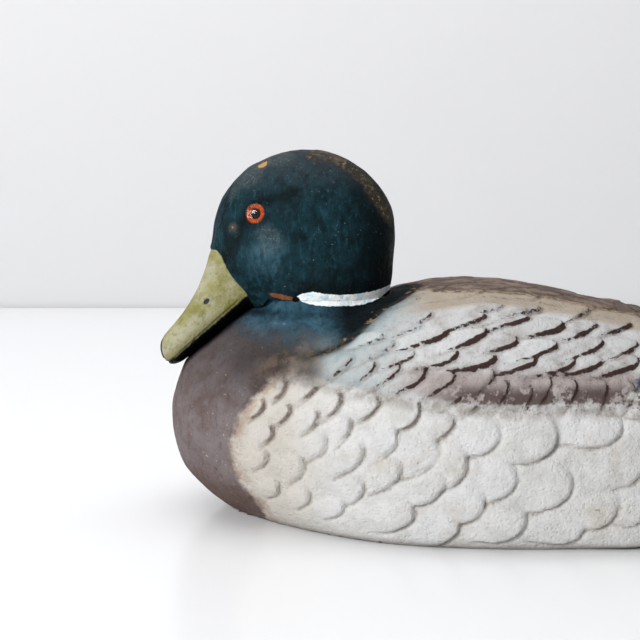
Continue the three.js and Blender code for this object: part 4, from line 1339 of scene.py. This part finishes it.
def iris_paint():
    m = Paint("orange_enamel_iris", 0.6, **{SHINE: 0.0})
    fine = m.noise(0.9, 4, 0.6)
    rim = m.step(m.layer("radius") + fine * 0.15, 0.8, 0.98)
    color = m.mix((196, 84, 8), (136, 46, 4), m.step(fine, 0.35, 0.65))
    color = color.coat((34, 12, 5), rim * 0.95)
    return m.finish(color, m.step(fine, 0.3, 0.7, 0.5, 0.7))


def pupil_paint():
    m = Paint("black_enamel_pupil", 0.6, **{SHINE: 0.0})
    fine = m.noise(1.0, 3)
    color = m.mix((0.004, 0.004, 0.004, 1), (0.012, 0.009, 0.008, 1), fine)
    return m.finish(color, m.step(fine, 0.3, 0.7, 0.5, 0.7))


def clear_glass():
    m = Paint("clear_eye_glass", 0.02, **{"Transmission Weight": 1.0, "IOR": 1.3, SHINE: 0.25})
    fine = m.noise(2.0, 3)
    color = m.mix((1.0, 0.97, 0.93, 1), (0.98, 0.93, 0.88, 1), fine)
    return m.finish(color, m.step(fine, 0.45, 0.75, 0.0, 0.02))


# ---- eyes


def stand_for(made, body, node, material):
    """Puts a piece on its body in place of a CAD node, with its material."""
    made.data.materials.clear()
    made.data.materials.append(material)
    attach(made, body)
    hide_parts(node)


def turned(name, profile, sides=48):
    """A closed turned piece about Z from (radius, height) points. A radius of 0 is one point on the axis,
    and a profile that ends where it starts is a ring."""
    turn = np.linspace(0, 2 * math.pi, sides, endpoint=False)
    closed = profile[0] == profile[-1]
    points, rings = [], []
    for r, h in profile[:-1] if closed else profile:
        count = sides if r else 1
        rings.append([len(points) + k % count for k in range(sides + 1)])
        points += [(r * math.cos(a), r * math.sin(a), h) for a in turn[:count]]
    if closed:
        rings.append(rings[0])
    faces = []
    for low, high in zip(rings[:-1], rings[1:]):
        for k in range(sides):
            corners = (low[k], low[k + 1], high[k + 1], high[k])
            faces.append(tuple(dict.fromkeys(corners)))
    return face_out(new_mesh(name, points, faces))


def dome(radius, base, top, steps=12):
    out = []
    for i in range(steps + 1):
        a = math.pi / 2 * i / steps
        out.append((radius * math.cos(a) if i < steps else 0, base + (top - base) * math.sin(a)))
    return out


PUPIL_R = 2.3


def eyes(glass, iris, pupil):
    for side, word in ((-1, "left"), (1, "right")):
        r = EYE[2]
        pieces = (
            (f"glass_dome_{word}", f"eye_glass_{word}", "eye_glass", glass,
             [(0, -0.9), (r - 0.1, -0.9), (r, -0.8)] + dome(r, -0.4, 2.2)),
            (f"iris_ring_{word}", f"eye_iris_{word}", "eye_iris", iris,
             [(PUPIL_R + 0.12, -2.2), (r - 0.3, -2.2), (r - 0.2, -2.0), (r - 0.2, -1.25),
              (r - 1.2, -1.15), (PUPIL_R + 0.5, -1.25), (PUPIL_R + 0.12, -1.4), (PUPIL_R + 0.12, -2.2)]),
            (f"pupil_bead_{word}", f"eye_pupil_{word}", "eye_pupil", pupil,
             [(0, -2.5), (PUPIL_R - 0.1, -2.5), (PUPIL_R, -2.4)] + dome(PUPIL_R, -1.5, -1.1, 8)),
        )
        for name, node, slot, material, profile in pieces:
            made = turned(name, profile)
            p = points_of(made)
            put_layer(made, "radius", np.hypot(p[:, 0], p[:, 1]) / r)
            made.data.transform(eye_matrix(side))
            shade(made, 40)
            stand_for(made, "head", node, material)


# ---- camera and studio

CAMERA_BACK = 622
CAMERA_HIGH = 179
CAMERA_X = -121
CAMERA_PITCH = 7.7
FOCAL = 70
TABLE = 2500
TABLE_EDGE = 805  # how far behind the decoy the white table ends
WALL_SIDE = 4000
WALL_FOOT = -900
WALL_TOP = 3000


def camera():
    data = bpy.data.cameras.new("camera")
    data.lens = FOCAL
    data.sensor_width = 36
    data.clip_start = 0.05
    made = bpy.data.objects.new("camera", data)
    made.location = (CAMERA_X * MM, -CAMERA_BACK * MM, CAMERA_HIGH * MM)
    made.rotation_euler = (math.radians(90 - CAMERA_PITCH), 0, 0)
    bpy.context.scene.collection.objects.link(made)
    bpy.context.scene.camera = made


def backdrop(name, paint, color, rough, shine, corners):
    """A plain flat sheet that belongs to the studio."""
    m = Paint(paint, rough, **{SHINE: shine})
    darker = tuple(c * 0.98 for c in color[:3]) + (1.0,)
    made = new_mesh(name, corners, [(0, 1, 2, 3)])
    made.data.materials.append(m.finish(m.mix(darker, color, m.noise(120, 3)), rough))


def area_light(name, at, aim, size, power):
    data = bpy.data.lights.new(name, "AREA")
    data.shape = "RECTANGLE"
    data.size, data.size_y = size
    data.energy = power
    made = bpy.data.objects.new(name, data)
    made.location = at
    made.rotation_euler = (Vector(aim) - Vector(at)).to_track_quat("-Z", "Y").to_euler()
    bpy.context.scene.collection.objects.link(made)


def sky():
    """Pale light from all round, stronger from the bird's front than from its tail."""
    world = bpy.data.worlds.new("studio")
    bpy.context.scene.world = world
    world.use_nodes = True
    nodes, links = world.node_tree.nodes, world.node_tree.links
    background = nodes["Background"]
    way = nodes.new("ShaderNodeSeparateXYZ")
    links.new(nodes.new("ShaderNodeTexCoord").outputs["Generated"], way.inputs[0])
    fade = nodes.new("ShaderNodeMapRange")
    for socket, value in zip(list(fade.inputs)[1:], (-0.7, 0.7, 0.6, 0.2)):
        socket.default_value = value
    links.new(way.outputs["X"], fade.inputs[0])
    links.new(fade.outputs[0], background.inputs["Strength"])
    background.inputs["Color"].default_value = (0.97, 0.98, 1.0, 1)


def studio():
    table = [(-TABLE, -TABLE, 0), (TABLE, -TABLE, 0), (TABLE, TABLE_EDGE, 0), (-TABLE, TABLE_EDGE, 0)]
    wall = [(x, TABLE_EDGE + 5, z) for x, z in ((-WALL_SIDE, WALL_FOOT), (WALL_SIDE, WALL_FOOT),
                                                (WALL_SIDE, WALL_TOP), (-WALL_SIDE, WALL_TOP))]
    backdrop("table_top", "white_table", (0.82, 0.825, 0.835, 1), 0.22, 0.35, table)
    backdrop("grey_wall", "grey_wall", (0.68, 0.68, 0.69, 1), 0.9, 0.1, wall)
    sky()
    area_light("window", (-1.2, -1.35, 0.95), (-0.1, 0, 0.08), (0.6, 0.6), 30)
    area_light("ceiling", (-0.3, 0.0, 1.7), (-0.1, 0, 0), (1.6, 1.6), 6.5)
    area_light("wall_wash", (0.0, 0.2, 1.4), (0, 0.8, 0.7), (2.5, 0.6), 9)
    bpy.context.scene.view_settings.view_transform = "Standard"


# ---- put together

camera()
studio()

body = body_solid()
dress_body(body)
stand_for(body, "hull", "body_shell", body_paint())

head = head_solid()
dress_head(head)
stand_for(head, "head", "head", head_paint())

eyes(clear_glass(), iris_paint(), pupil_paint())

brass = metal("tarnished_brass", (176, 142, 84), (104, 78, 46), 0.38)
steel = metal("dull_steel", (150, 152, 154), (96, 98, 100), 0.4)
finishes = {"board": wood(), "brass": brass, "steel": steel, "lead": lead(), "leather": leather()}
slots = {part["node"]: part["material_slot"] for part in frame["record"]["subparts"]}
for name, node in frame["nodes"].items():
    finish = finishes.get(slots.get(name))
    if finish is not None:
        node.data.materials.clear()
        node.data.materials.append(finish)
